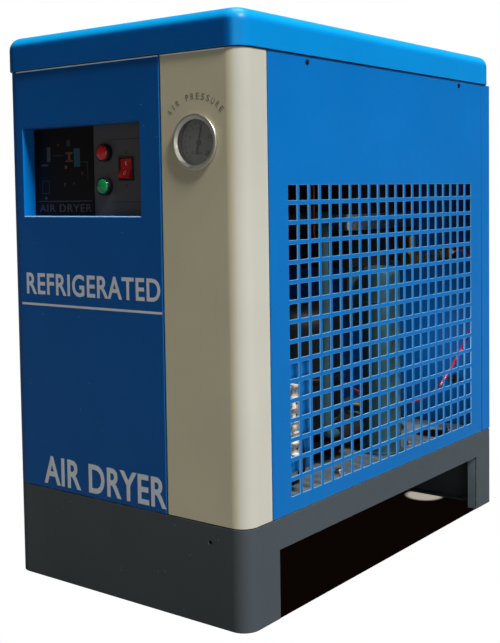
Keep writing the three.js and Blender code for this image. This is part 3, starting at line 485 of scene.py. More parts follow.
def glazed(name):
    """Clear flat glass, a little dusty: what lies behind it shows, under a sharp reflection."""
    recipe = Recipe(name, Base_Color=(0.5, 0.48, 0.45, 1))
    haze = recipe.span(recipe.noise(35, 5), 0.35, 0.75, 0.02, 0.09)
    recipe.feed("Roughness", haze)
    clear = recipe.add("ShaderNodeBsdfTransparent", {"Color": (0.9, 0.93, 0.93, 1)})
    facing = recipe.add("ShaderNodeFresnel", {"IOR": 1.5}).outputs[0]
    share = recipe.span(facing, 0.0, 1.0, 0.1, 1.0)
    blend = recipe.add(
        "ShaderNodeMixShader", {0: share, 1: clear.outputs[0], 2: recipe.surface.outputs[0]}
    )
    recipe.tree.links.new(blend.outputs[0], recipe.output.inputs["Surface"])
    return recipe.material


WORN_BLUE = srgb(120, 165, 210)
FINISH = {
    # blue_paint: the front colour is a painted shade, the rim a painted highlight, the darkening near the
    # ground a painted shade
    "blue_paint": painted("blue_paint", srgb(0, 110, 187), 0.42, WORN_BLUE, gloss=0.2,
                          front=srgb(0, 80, 148), rim=srgb(150, 195, 228), low_shade=0.22),
    # lid_paint: the front colour is a painted shade on the front skirt, the rim a painted highlight on the
    # rounding
    "lid_paint": painted("lid_paint", srgb(0, 136, 210), 0.38, WORN_BLUE, wear=0.3, gloss=0.2,
                         front=srgb(0, 83, 153), shade_reach=-0.86,
                         rim=srgb(0, 150, 214)),
    # beige_paint: the darker, warmer front colour is a painted shade
    "beige_paint": painted("beige_paint", srgb(194, 192, 178), 0.45, srgb(236, 234, 224),
                           front=srgb(194, 186, 156), shade_reach=-0.85),
    # base_paint: the darker front colour is a painted shade
    "base_paint": painted("base_paint", srgb(67, 75, 80), 0.55, srgb(150, 155, 158), wear=0.7, peel=0.16,
                          front=srgb(62, 68, 70), shade_reach=-0.5),
    "grey_paint": painted("grey_paint", srgb(112, 126, 136), 0.5, srgb(180, 182, 182)),
    "black_paint": painted("black_paint", srgb(20, 21, 24), 0.45, srgb(90, 90, 90), wear=0.4),
    "tank_paint": painted("tank_paint", srgb(62, 98, 106), 0.5, srgb(130, 150, 155), gloss=0.15),
    "bright_ring": metal("bright_ring", srgb(226, 222, 208), 0.42, srgb(190, 184, 170), tarnish=0.15),
    "steel": metal("steel", srgb(178, 180, 182), 0.34, srgb(120, 118, 112), (1, 1, 12)),
    "aluminium": metal("aluminium", srgb(186, 189, 192), 0.42, srgb(130, 130, 128), (1, 12, 1)),
    "copper": metal("copper", srgb(160, 92, 64), 0.36, srgb(80, 48, 34), tarnish=0.6),
    "brass": metal("brass", srgb(160, 136, 82), 0.36, srgb(84, 70, 42), tarnish=0.6),
    "black_plastic": moulded("black_plastic", srgb(22, 22, 25), 0.45),
    "grey_plate": painted("grey_plate", srgb(82, 80, 80), 0.5, srgb(150, 150, 148), dust=0.1),
    "white_plastic": moulded("white_plastic", srgb(222, 220, 212), 0.45, worn=1.05),
    "red_plastic": moulded("red_plastic", srgb(196, 14, 18), 0.28, 0.03, Coat_Weight=0.5),
    "green_plastic": moulded("green_plastic", srgb(0, 140, 74), 0.2, 0.03, Coat_Weight=0.8),
    "yellow_plastic": moulded("yellow_plastic", srgb(220, 168, 26), 0.4),
    "dial_face": painted("dial_face", srgb(214, 208, 198), 0.6, srgb(225, 220, 210), dust=0.05),
    "rubber": moulded("rubber", srgb(26, 26, 27), 0.8, 0.2),
    "foam": foamed("foam", srgb(26, 27, 30)),
    "glass": glazed("glass"),
    "lettering_silver": painted("lettering_silver", srgb(196, 202, 206), 0.35, srgb(230, 232, 235)),
    "worn_print": moulded("worn_print", srgb(104, 98, 82), 0.5, worn=1.05),
    "marking_black": moulded("marking_black", srgb(18, 18, 18), 0.5),
    "marking_white": moulded("marking_white", srgb(206, 206, 204), 0.5, worn=1.05),
    "marking_teal": moulded("marking_teal", srgb(24, 72, 88), 0.5),
    "marking_orange": moulded("marking_orange", srgb(104, 58, 20), 0.5),
    "marking_green": moulded("marking_green", srgb(16, 50, 26), 0.5),
    "marking_red": moulded("marking_red", srgb(104, 18, 18), 0.5),
    # Finish of the front panel's edges: the front's painted shade, with a near-white painted highlight where
    # they turn upwards
    "blue_edge_shade_and_glint": painted("blue_edge_shade_and_glint", srgb(0, 80, 148), 0.42, WORN_BLUE, rim=srgb(205, 225, 240)),
    # Finish of the corner panel's edges: the front's painted shade, with a near-white painted highlight
    # where they turn upwards
    "beige_edge_shade_and_glint": painted("beige_edge_shade_and_glint", srgb(194, 186, 156), 0.45, srgb(236, 234, 224),
                          rim=srgb(250, 249, 244)),
    # Near-white painted highlight for the lit top edges of the front panels
    "edge_glint_paint": painted("edge_glint_paint", srgb(236, 241, 244), 0.4, srgb(245, 245, 245)),
    # Scuffed paint, drawn pale as a painted highlight for the lit flange of the rear leg
    "scuffed_lit_edge": painted("scuffed_lit_edge", srgb(104, 120, 126), 0.5, srgb(150, 160, 165), mottle=0.3),
    "film_grey": moulded("film_grey", srgb(64, 64, 70), 0.5, worn=1.05),
    # Hole walls and cut edges of the side panels: thin paint on the punched edges, drawn pale as a painted
    # highlight too
    "punched_edge_wear_and_glint": painted("punched_edge_wear_and_glint", srgb(122, 176, 218), 0.5, srgb(140, 190, 226), dust=0.0),
    "overlay_film": moulded("overlay_film", srgb(10, 6, 8), 0.4, 0.05, Specular_IOR_Level=0.2),
    "blackened_screw": metal("blackened_screw", srgb(58, 58, 60), 0.4, srgb(30, 30, 30)),
    "zinc_screw": metal("zinc_screw", srgb(206, 206, 200), 0.28, srgb(150, 148, 140), tarnish=0.2),
    "silver_tape": metal("silver_tape", srgb(196, 198, 200), 0.3, srgb(160, 160, 160), tarnish=0.15),
}


# ------------------------------------------------------------------ finished pieces
def baked(obj):
    """Turns an object's modifiers into its mesh."""
    graph = bpy.context.evaluated_depsgraph_get()
    mesh = bpy.data.meshes.new_from_object(obj.evaluated_get(graph))
    obj.modifiers.clear()
    old = obj.data
    obj.data = mesh
    bpy.data.meshes.remove(old)


def mesh_object(name, bm):
    """A linked object whose mesh is the given one, moved from machine millimetres to the frame."""
    bmesh.ops.remove_doubles(bm, verts=bm.verts, dist=0.002)
    for vertex in bm.verts:
        vertex.co = at(*vertex.co)
    mesh = bpy.data.meshes.new(name)
    bm.to_mesh(mesh)
    bm.free()
    obj = bpy.data.objects.new(name, mesh)
    bpy.context.scene.collection.objects.link(obj)
    return obj


def smoothed(mesh, angle):
    """Smooth faces, with the edges sharper than the angle kept crisp."""
    bm = bmesh.new()
    bm.from_mesh(mesh)
    for face in bm.faces:
        face.smooth = True
    for edge in bm.edges:
        edge.smooth = edge.calc_face_angle(0) < math.radians(angle)
    bm.to_mesh(mesh)
    bm.free()


def piece(name, bm, finish, body="root", stands_for=(), bevel=0.0, segments=2, angle=32,
          thickness=0.0, edge_finish=None, holes=(), closed=True, levels=0):
    """Finishes a mesh as a piece: thickness, drilled holes, rounded edges, shading, material and body."""
    if closed:
        bmesh.ops.recalc_face_normals(bm, faces=bm.faces)
    obj = mesh_object(name, bm)
    obj.data.materials.append(FINISH[finish])
    if edge_finish:
        obj.data.materials.append(FINISH[edge_finish])
    if thickness:
        solid = obj.modifiers.new("thickness", "SOLIDIFY")
        solid.thickness = thickness * MM
        solid.offset = -1
        solid.use_even_offset = True
        solid.material_offset_rim = 1 if edge_finish else 0
        baked(obj)
    for i, (axis, radius, start, end, centre) in enumerate(holes):
        drill = bmesh.new()
        rod(drill, axis, radius, start, end, centre, 48)
        bmesh.ops.recalc_face_normals(drill, faces=drill.faces)
        cutter = mesh_object(f"{name}_drill_{i}", drill)
        cutting = obj.modifiers.new("hole", "BOOLEAN")
        cutting.operation = "DIFFERENCE"
        cutting.solver = "EXACT"
        cutting.object = cutter
        baked(obj)
        bpy.data.objects.remove(cutter)
    if levels:
        smooth = obj.modifiers.new("subdivision", "SUBSURF")
        smooth.levels = smooth.render_levels = levels
        baked(obj)
    if bevel:
        rounding = obj.modifiers.new("edges", "BEVEL")
        rounding.width = bevel * MM
        rounding.segments = segments
        rounding.limit_method = "ANGLE"
        rounding.angle_limit = math.radians(30)
        rounding.material = 1 if edge_finish else -1
        baked(obj)
    smoothed(obj.data, angle)
    shading = obj.modifiers.new("shading", "WEIGHTED_NORMAL")
    shading.keep_sharp = True
    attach(obj, body)
    if stands_for:
        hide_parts(*([stands_for] if isinstance(stands_for, str) else stands_for))
    return obj


def dressed(node, finish, bevel=0.4):
    """A CAD node that keeps its shape, with its edges broken and its own finish."""
    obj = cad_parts[node]
    for slot in obj.material_slots:
        slot.material = FINISH[finish]
    weld = obj.modifiers.new("weld", "WELD")
    weld.merge_threshold = 0.01 * MM
    rounding = obj.modifiers.new("edges", "BEVEL")
    rounding.width = bevel * MM
    rounding.segments = 2
    rounding.limit_method = "ANGLE"
    rounding.angle_limit = math.radians(35)


def new():
    return bmesh.new()


# ------------------------------------------------------------------ cabinet
def base_frame():
    base = box_mm("base_frame")
    half, depth, top = base.x1, base.y1, base.z1
    opening = [(OPENING.front, OPENING.rear, 0, OPENING.height)]
    bm = new()
    right = filleted([(0, 0), (half, 0), (half, depth), (0, depth)], (FRONT_CORNER, REAR_CORNER), 10)
    left = filleted([(0, depth), (-half, depth), (-half, 0), (0, 0)], (REAR_CORNER, FRONT_CORNER), 10)
    for path in (right, left):
        folded(bm, path, 0, top, opening)
    bolt_hole = ("y", 2.6, -5, 5, (144.9, 0, 101.3))
    piece("base_apron", bm, "base_paint", stands_for="base_frame", thickness=BASE_SHEET,
          bevel=0.9, holes=[bolt_hole])

    # The rear leg's inward flange beside the opening: scuffed paint drawn pale, a painted highlight
    bm = new()
    block(bm, half - RETURN - 3, half - BASE_SHEET, OPENING.rear - 0.3, OPENING.rear + 0.3, 0.5,
          OPENING.height - 4)
    piece("scuffed_lit_return", bm, "scuffed_lit_edge")
    inner = half - BASE_SHEET / 2
    bm = new()
    flange = [rounded_rect(-half + i, half - i, i, depth - i, max(FRONT_CORNER - i, 1),
                           max(REAR_CORNER - i, 1)) for i in (BASE_SHEET - 0.1, 22)]
    plate_ring(bm, *flange, top - BASE_SHEET, top - 0.05)
    for side in (-1, 1):
        x0, x1 = sorted((side * (half - RETURN), side * inner))
        for y in (OPENING.front, OPENING.rear):
            start = y - BASE_SHEET if y == OPENING.front else y
            block(bm, x0, x1, start, start + BASE_SHEET, 0.1, OPENING.height + BASE_SHEET)
        block(bm, x0, x1, OPENING.front - BASE_SHEET, OPENING.rear + BASE_SHEET,
              OPENING.height, OPENING.height + BASE_SHEET)
    foot = 20
    for start, end in ((BASE_SHEET - 0.1, foot), (depth - foot, depth - BASE_SHEET + 0.1)):
        block(bm, -180, 180, start, end, 0.05, BASE_SHEET)
    anchors = [("z", 4.5, -5, 5, (x, y, 0)) for x in (-150, 150) for y in (11, depth - 11)]
    piece("base_flanges", bm, "base_paint", bevel=0.6, holes=anchors)


def panel_seal():
    """A dark strip that closes the seam between the panels and the base."""
    base, panel = box_mm("base_frame"), box_mm("front_panel")
    strip = [rounded_rect(base.x0 + i, base.x1 - i, i, base.y1 - i, FRONT_CORNER - i, REAR_CORNER, 10)
             for i in (0.7, 10)]
    bm = new()
    plate_ring(bm, *strip, base.z1 + 0.02, panel.z0 - 0.02)
    piece("panel_seal", bm, "rubber")


def front_panels():
    """The blue front with its recessed window, and the pale corner panel beside it."""
    blue, pale, plate = box_mm("front_panel"), box_mm("corner_panel"), box_mm("control_plate")
    margin = 4
    left, right = plate.x0 + margin, plate.x1 - margin
    bottom, top = plate.z0 + margin, plate.z1 - margin
    depth = plate.y0 - TOUCH
    bm = new()
    path = filleted(
        [(blue.x0 + RETURN, blue.y1), (blue.x0, blue.y1), (blue.x0, 0), (blue.x1, 0), (blue.x1, RETURN)],
        (FOLD, FRONT_CORNER, FOLD), 10,
    )
    folded(bm, path, blue.z0, blue.z1, [(left - FOLD, right + FOLD, bottom - FOLD, top + FOLD)])
    rings = []
    bend = [(FOLD * (1 - math.sin(a)), FOLD * (1 - math.cos(a))) for a in
            (math.pi / 2 * i / 6 for i in range(7))]
    for out, y in [*bend, (0, depth)]:
        corners = ((left - out, bottom - out), (right + out, bottom - out),
                   (right + out, top + out), (left - out, top + out))
        rings.append([bm.verts.new((x, y, z)) for x, z in corners])
    skin(bm, rings)
    bmesh.ops.remove_doubles(bm, verts=bm.verts, dist=0.002)
    # its edges take the front's painted shade, with a painted highlight on the upward ones
    piece("front_skin", bm, "blue_paint", stands_for="front_panel", thickness=SHEET, bevel=0.6,
          edge_finish="blue_edge_shade_and_glint")

    bm = new()
    path = filleted(
        [(pale.x0, RETURN), (pale.x0, 0), (pale.x1, 0), (pale.x1, pale.y1), (pale.x1 - RETURN, pale.y1)],
        (FOLD, FRONT_CORNER, FOLD), 10,
    )
    folded(bm, path, pale.z0, pale.z1)
    gauge = box_mm("gauge_bezel")
    # its edges take the front's painted shade, with a painted highlight on the upward ones
    piece("corner_skin", bm, "beige_paint", stands_for="corner_panel", thickness=SHEET, bevel=0.6,
          edge_finish="beige_edge_shade_and_glint", holes=[("y", GAUGE_HOLE, -5, 5, (gauge.x, 0, gauge.z))])

    # Thin near-white strips along the top edges of the front panels, under the lid: a painted highlight
    bm = new()
    for x0, x1 in ((blue.x0 + FRONT_CORNER, blue.x1 - 1), (pale.x0 + 1, pale.x1 - FRONT_CORNER)):
        block(bm, x0, x1, -0.15, 0.4, blue.z1 - 1.5, blue.z1 - 0.1)
    piece("edge_glint_strips", bm, "edge_glint_paint")

    for name, x0, x1, finish in (("front_top_return", blue.x0 + 1, blue.x1 - 2, "blue_paint"),
                                 ("corner_top_return", pale.x0 + 2, pale.x1 - 1, "beige_paint")):
        bm = new()
        block(bm, x0 + FRONT_CORNER * (x0 < 0), x1 - FRONT_CORNER * (x1 > 100), 1, RETURN,
              blue.z1 - SHEET, blue.z1 - 0.4)
        piece(name, bm, finish, bevel=0.3)


def side_panels():
    right, left = box_mm("right_side_panel"), box_mm("left_side_panel")
    squares = [
        (GRILLE.y + GRILLE.pitch * i, GRILLE.y + GRILLE.pitch * i + GRILLE.hole,
         GRILLE.z + GRILLE.pitch * j, GRILLE.z + GRILLE.pitch * j + GRILLE.hole)
        for i in range(GRILLE.columns) for j in range(GRILLE.rows)
    ]
    bm = new()
    path = filleted([(right.x1 - RETURN, right.y0), (right.x1, right.y0), (right.x1, right.y1),
                     (right.x1 - RETURN, right.y1)], (FOLD, FOLD))
    folded(bm, path, right.z0, right.z1, squares)
    piece("grille_panel", bm, "blue_paint", stands_for="right_side_panel", thickness=SHEET,
          bevel=0.3, edge_finish="punched_edge_wear_and_glint")

    start = left.y - ((LOUVRE.columns - 1) * LOUVRE.pitch_y + LOUVRE.width) / 2
    slots = [
        (start + LOUVRE.pitch_y * i, start + LOUVRE.pitch_y * i + LOUVRE.width,
         GRILLE.z + LOUVRE.pitch_z * j, GRILLE.z + LOUVRE.pitch_z * j + LOUVRE.height)
        for i in range(LOUVRE.columns) for j in range(LOUVRE.rows)
    ]
    bm = new()
    path = filleted([(left.x0 + RETURN, left.y1), (left.x0, left.y1), (left.x0, left.y0),
                     (left.x0 + RETURN, left.y0)], (FOLD, FOLD))
    folded(bm, path, left.z0, left.z1, slots)
    piece("louvre_panel", bm, "blue_paint", stands_for="left_side_panel", thickness=SHEET,
          bevel=0.3, edge_finish="punched_edge_wear_and_glint")


def rear_panel():
    rear = box_mm("rear_panel")
    ports = [box_mm(name) for name in ("air_inlet_port", "air_outlet_port")]
    gland, drain = box_mm("cable_gland"), box_mm("drain_outlet")
    bm = new()
    path = filleted(
        [(rear.x1 - RETURN, rear.y0), (rear.x1, rear.y0), (rear.x1, rear.y1), (rear.x0, rear.y1),
         (rear.x0, rear.y0), (rear.x0 + RETURN, rear.y0)],
        (FOLD, FOLD, FOLD, FOLD),
    )
    folded(bm, path, rear.z0, rear.z1)
    through = (rear.y1 - 5, rear.y1 + 5)
    holes = [("y", 24.8, *through, (port.x, 0, port.z)) for port in ports]
    holes += [("y", 8.5, *through, (gland.x, 0, gland.z)), ("y", 7, *through, (drain.x, 0, drain.z))]
    piece("rear_skin", bm, "blue_paint", stands_for="rear_panel", thickness=SHEET, bevel=0.4, holes=holes)


def lid():
    """A rounded pressing, hollow underneath, its lower edge folded in."""
    cover = box_mm("top_cover")
    overhang = cover.x1 - box_mm("base_frame").x1
    corner = FRONT_CORNER + overhang
    r, wall = LID.rounding, LID.wall

    def ring(inset, z):
        outline = rounded_rect(cover.x0 + inset, cover.x1 - inset, cover.y0 + inset, cover.y1 - inset,
                               max(corner - inset, 3), steps=14)
        return [bm.verts.new((*p, z)) for p in outline]

    bm = new()
    outer = [(r - a, cover.z1 - r + b) for a, b in arc(0, 0, r, 0, 90, 12)]
    inner = [(r - a, cover.z1 - r + b) for a, b in arc(0, 0, r - wall, 90, 0, 8)]
    levels = [(r + 40, cover.z1), *reversed(outer), (0, cover.z0 + 1), (0, cover.z0), (LID.lip, cover.z0),
              (LID.lip, cover.z0 + wall), (wall, cover.z0 + wall), *reversed(inner),
              (r + 40, cover.z1 - wall)]
    rings = [ring(*level) for level in levels]
    skin(bm, rings)
    for end in (rings[0], rings[-1]):
        bm.faces.new(end)
    piece("lid_pressing", bm, "lid_paint", stands_for="top_cover", bevel=0.6, segments=3)


def floor_sheet():
    floor = box_mm("floor_plate")
    bm = new()
    block(bm, floor.x0, floor.x1, floor.y0, floor.y1, floor.z0, floor.z1)
    hole = ("z", FLOOR_HOLE.radius, floor.z0 - 5, floor.z1 + 5, (FLOOR_HOLE.x, FLOOR_HOLE.y, 0))
    piece("floor_sheet", bm, "grey_paint", stands_for="floor_plate", bevel=0.4, holes=[hole])


# ------------------------------------------------------------------ control panel and lettering
def control_panel():
    plate, overlay = box_mm("control_plate"), box_mm("mimic_overlay")
    housing, rocker = box_mm("switch_housing"), box_mm("switch_rocker")
    dressed("control_plate", "grey_plate", 0.3)
    dressed("mimic_overlay", "overlay_film", 0.15)
    dressed("control_box", "grey_paint", 0.4)
    dressed("switch_housing", "black_plastic", 0.5)

    for colour in ("red", "green"):
        body, lens = box_mm(f"{colour}_lamp_body"), box_mm(f"{colour}_lamp_lens")
        rim, cap, back = (body.x1 - body.x0) / 2, (lens.x1 - lens.x0) / 2, plate.y0 - TOUCH
        well, barrel = cap + 0.3, cap - 1.1
        bm = new()
        turned(bm, [(0, 15), (well, 15), (well, 13), *arc(rim - 0.9, body.y0 + 0.9, 0.9, 225, 360, 6),
                    (rim, back), (barrel, back), (barrel, body.y1 - 4), (barrel - 1.4, body.y1),
                    (0, body.y1)],
               "y", (body.x, 0, body.z), 64)
        piece(f"{colour}_lamp_holder", bm, "black_plastic", stands_for=f"{colour}_lamp_body")
        bm = new()
        rise = 3.6
        dome = [(cap * math.sin(a), lens.y0 + rise * (1 - math.cos(a))) for a in
                (math.pi / 2 * i / 14 for i in range(15))]
        turned(bm, [(0, lens.y0), *dome[1:], (cap, lens.y1), (0, lens.y1)], "y", (lens.x, 0, lens.z), 64)
        piece(f"{colour}_lamp_dome", bm, f"{colour}_plastic", stands_for=f"{colour}_lamp_lens")

    pivot = Vector((rocker.x, plate.y0 + 1.7, (housing.z0 + housing.z1) / 2))
    tilt = Matrix.Rotation(math.radians(-12), 4, "X")
    profile = [(0, -3), (11.9, -5.5), *arc(0, 0, 13.1, -18, 24, 10), (5, 9), (-5, 9),
               *arc(0, 0, 13.1, 156, 198, 10), (-11.9, -5.5)]
    bm = new()
    ends = [[bm.verts.new(pivot + tilt @ Vector((x, y, z))) for z, y in profile] for x in (-9.4, 9.4)]
    skin(bm, ends)
    for end in ends:
        bm.faces.new(end)
    piece("rocker_cap", bm, "red_plastic", body="rocker", stands_for="switch_rocker", bevel=0.5)
    bm = new()
    middle, end = (0, -3.06), (11.9, -5.56)
    slope = (end[1] - middle[1]) / end[0]

    def on_face(x, z, sink=0.0):
        return pivot + tilt @ Vector((x, middle[1] + slope * abs(z), z)) + Vector((0, sink, 0))

    corners = ((-0.6, 3.4), (0.6, 3.4), (0.6, 8.4), (-0.6, 8.4))
    front, back = [[bm.verts.new(on_face(x, z, sink)) for x, z in corners] for sink in (0, 0.3)]
    skin(bm, [front, back])
    bm.faces.new(front)
    bm.faces.new(back)
    rings = []
    for radius, sink in ((2.4, 0), (1.9, 0), (1.9, 0.3), (2.4, 0.3)):
        angles = [2 * math.pi * i / 24 for i in range(24)]
        rings.append([bm.verts.new(on_face(radius * math.cos(a) * 0.8, -6 + radius * math.sin(a), sink))
                      for a in angles])
    skin(bm, rings, loop=True)
    piece("rocker_marks", bm, "marking_white", body="rocker")

    face = plate.y0 - 0.02
    bm = new()
    for z in (plate.z1 - 24, plate.z0 + 21):
        block(bm, -24, 32, face - 0.12, face, z, z + 0.7)
    lettering(bm, "I", housing.x - 0.8, housing.x + 0.8, housing.z1 + 3, housing.z1 + 7, face)
    lettering(bm, "O", housing.x - 2, housing.x + 2, housing.z0 - 8, housing.z0 - 4, face)
    piece("plate_print", bm, "marking_black")
    mimic_diagram(overlay)


def mimic_diagram(overlay):
    """A small generic flow diagram, printed on the dark film."""
    face = overlay.y0 - 0.01
    width, height = overlay.x1 - overlay.x0, overlay.z1 - overlay.z0

    def bar(bm, u0, u1, v0, v1):
        block(bm, overlay.x0 + width * u0, overlay.x0 + width * u1, face - 0.1, face,
              overlay.z0 + height * v0, overlay.z0 + height * v1)

    drawings = {
        "mimic_lines": ("film_grey", [
            (0.22, 0.28, 0.62, 0.79), (0.12, 0.24, 0.57, 0.59), (0.13, 0.135, 0.25, 0.40),
            (0.245, 0.25, 0.25, 0.40), (0.13, 0.25, 0.395, 0.40), (0.13, 0.25, 0.25, 0.255),
            (0.05, 0.96, 0.155, 0.163), (0.51, 0.53, 0.33, 0.37), (0.66, 0.68, 0.35, 0.37),
            (0.30, 0.50, 0.685, 0.69), (0.78, 0.90, 0.60, 0.605), (0.90, 0.905, 0.40, 0.605),
        ]),
        "mimic_teal": ("marking_teal", [(0.68, 0.78, 0.55, 0.76)]),
        "mimic_orange": ("marking_orange", [
            (0.54, 0.66, 0.70, 0.72), (0.58, 0.62, 0.62, 0.70), (0.54, 0.66, 0.61, 0.63),
            (0.52, 0.56, 0.53, 0.57),
        ]),
        "mimic_green": ("marking_green", [(0.56, 0.62, 0.79, 0.86)]),
        "mimic_red": ("marking_red", [(0.80, 0.83, 0.46, 0.49), (0.40, 0.43, 0.80, 0.82)]),
    }
    for name, (finish, bars) in drawings.items():
        bm = new()
        for bar_at in bars:
            bar(bm, *bar_at)
        if name == "mimic_lines":
            centre = (overlay.x0 + width * 0.19, 0, overlay.z0 + height * 0.195)
            rod(bm, "y", 2.6, face - 0.1, face, centre, 4)
        piece(name, bm, finish)
    bm = new()
    lettering(bm, "AIR DRYER", overlay.x0 + 8, overlay.x1 - 5, overlay.z0 + 4, overlay.z0 + 14, face,
              thickness=0.1, spacing=1.1)
    piece("mimic_words", bm, "film_grey")


def front_lettering():
    """Plain cut-film words and a stripe across the front, in place of any maker's marking."""
    bm = new()
    lettering(bm, "REFRIGERATED", -167.5, 73.4, 385, 414, -0.03, bold=0.018, spacing=1.08)
    piece("front_words_upper", bm, "lettering_silver")
    bm = new()
    block(bm, -177.4, 75.6, -0.15, -0.03, 370.2, 373.2)
    piece("front_stripe", bm, "lettering_silver")
    bm = new()
    lettering(bm, "AIR DRYER", -142.2, 76.9, 130, 168, -0.03, bold=0.02, spacing=1.05)
    piece("front_words_lower", bm, "lettering_silver")


def gauge_lettering():
    """Generic words round the top of the gauge, one letter at a time."""
    gauge = box_mm("gauge_bezel")
    radius, height, spread = 50, 7.4, 94
    word = "AIR PRESSURE"
    bm = new()
    for i, letter in enumerate(word):
        if letter == " ":
            continue
        angle = math.radians(spread * (0.5 - i / (len(word) - 1)))
        glyph = new()
        half = 0.5 if letter == "I" else 2.2
        lettering(glyph, letter, -half, half, radius, radius + height, -0.03, bold=-0.004)
        turn = Matrix.Translation((gauge.x, 0, gauge.z)) @ Matrix.Rotation(-angle, 4, "Y")
        bmesh.ops.transform(glyph, matrix=turn, verts=glyph.verts)
        mesh = bpy.data.meshes.new("glyph")
        glyph.to_mesh(mesh)
        glyph.free()
        bm.from_mesh(mesh)
        bpy.data.meshes.remove(mesh)
    piece("gauge_words", bm, "worn_print")


# ------------------------------------------------------------------ gauge
def pressure_gauge():
    bezel, case, dial = box_mm("gauge_bezel"), box_mm("gauge_case"), box_mm("gauge_dial")
    glass = box_mm("gauge_glass")
    centre = (bezel.x, 0, bezel.z)
    radius = (bezel.x1 - bezel.x0) / 2
    front = bezel.y0
    bm = new()
    turned(bm, [(28.2, -TOUCH), (28.2, -1), (27, -1), (27, -1.4), (27.3, -1.7), (radius - 3.5, front + 0.25),
                (radius - 3.1, front), *arc(radius - 1.6, front + 1.6, 1.6, 270, 360, 8), (radius, -TOUCH)],
           "y", centre, 128, loop=True)
    piece("gauge_ring", bm, "bright_ring", stands_for="gauge_bezel")
    bm = new()
    turned(bm, [(0, 10), (28.6, 10), (28.6, 0.2), (29.8, 0.2), (29.8, 26), (26, 30), (6, 30), (6, case.y1),
                (0, case.y1)], "y", centre, 96)
    piece("gauge_cup", bm, "black_paint", stands_for="gauge_case")
    bm = new()
    rod(bm, "y", 28.1, dial.y0, dial.y1, centre, 96, 0.2)
    piece("gauge_face", bm, "dial_face", stands_for="gauge_dial")
    bm = new()
    rod(bm, "y", 27.8, glass.y0, glass.y1, centre, 96, 0.2)
    piece("gauge_window", bm, "glass", stands_for="gauge_glass")

    sweep, start, top_value = 270, -135, 16
    bm = new()
    for i in range(top_value * 5 + 1):
        angle = math.radians(start + sweep * i / (top_value * 5))
        long = 5.2 if i % 10 == 0 else 3.6 if i % 5 == 0 else 2.2
        wide = 0.34 if i % 5 == 0 else 0.16
        tick = bmesh.ops.create_cube(bm, size=1, matrix=Matrix.Diagonal((wide * 2, 0.1, long, 1)))
        shift = Matrix.Translation((0, dial.y0 - 0.06, 25.6 - long / 2))
        turn = Matrix.Translation(centre) @ Matrix.Rotation(angle, 4, "Y") @ shift
        bmesh.ops.transform(bm, matrix=turn, verts=tick["verts"])
    for value in range(0, top_value + 1, 4):
        angle = math.radians(start + sweep * value / top_value)
        x, z = bezel.x + 16.4 * math.sin(angle), bezel.z + 16.4 * math.cos(angle)
        half = 1.5 if value < 10 else 2.7
        lettering(bm, str(value), x - half, x + half, z - 2, z + 2, dial.y0 - 0.02, 0.1, 0.01)
    lettering(bm, "bar", bezel.x - 3.4, bezel.x + 3.4, bezel.z - 14, bezel.z - 10, dial.y0 - 0.02, 0.1)
    piece("gauge_marks", bm, "marking_black")
    bm = new()
    rod(bm, "y", 1.1, dial.y0 - 3, dial.y0 - 0.02, (bezel.x + 10.3, 0, bezel.z - 14.8), 24, 0.2)
    piece("gauge_stop", bm, "black_paint")

    pointer = box_mm("gauge_pointer")
    right_half = [(0.4, 22), (1.3, 4), (1.2, -6), (1.7, -8), (1.7, -14.6)]
    blade = [*right_half, *((-x, z) for x, z in reversed(right_half))]
    y0, y1 = pointer.y0 + 0.6, pointer.y0 + 1.5
    bm = new()
    turn = Matrix.Translation(centre) @ Matrix.Rotation(math.radians(NEEDLE_LEAN), 4, "Y")
    ends = [[bm.verts.new(turn @ Vector((x, y, z))) for x, z in blade] for y in (y0, y1)]
    skin(bm, ends)
    for end in ends:
        bm.faces.new(end)
    piece("gauge_needle", bm, "black_paint", body="pointer", stands_for="gauge_pointer", bevel=0.2)
    bm = new()
    turned(bm, [(0, pointer.y0), *arc(2.4, pointer.y0 + 0.8, 0.8, 270, 360, 5), (3.2, pointer.y1),
                (0, pointer.y1)], "y", centre, 48)
    piece("gauge_hub", bm, "black_paint", body="pointer")


# ------------------------------------------------------------------ fasteners
def screw(bm, centre, axis, outward, radius):
    """A low domed screw head with a cross recess, standing on the given point."""
    depth = radius * 0.55
    rows = [(radius, 0.0), (radius, depth * 0.3), (radius * 0.92, depth * 0.62), (radius * 0.7, depth * 0.9),
            (radius * 0.42, depth)]
    profile = [(0, -0.3 * outward), (radius, -0.3 * outward)]
    profile += [(r, outward * h) for r, h in rows]
    profile.append((0, outward * depth * 0.45))
    turned(bm, profile, axis, centre, 32)
    side, up, along = AXES[axis]
    reach, wide = radius * 0.4, radius * 0.12
    for first, second in ((side, up), (up, side)):
        corners = []
        for level in (depth * 0.4, depth * 0.72):
            for a, b in ((-1, -1), (1, -1), (1, 1), (-1, 1)):
                offset = first * a * reach + second * b * wide + along * outward * level
                corners.append(bm.verts.new(Vector(centre) + offset))
        skin(bm, [corners[:4], corners[4:]])
        bm.faces.new(corners[:4])
        bm.faces.new(corners[4:])


def hex_bolt(bm, centre, axis, outward, across, washer=0.0):
    """A hexagon head on its washer."""
    height = across * 0.32
    if washer:
        rod(bm, axis, washer, *sorted((0, outward * 1.2)), centre, 40, 0.2)
    base = outward * 1.2 if washer else 0
    side = AXES[axis][2] * base
    rod(bm, axis, across / 2, *sorted((0, outward * height)), Vector(centre) + side, 6, across * 0.06)
    rod(bm, axis, across * 0.36, *sorted((0, outward * (height + 0.25))), Vector(centre) + side, 32, 0.3)


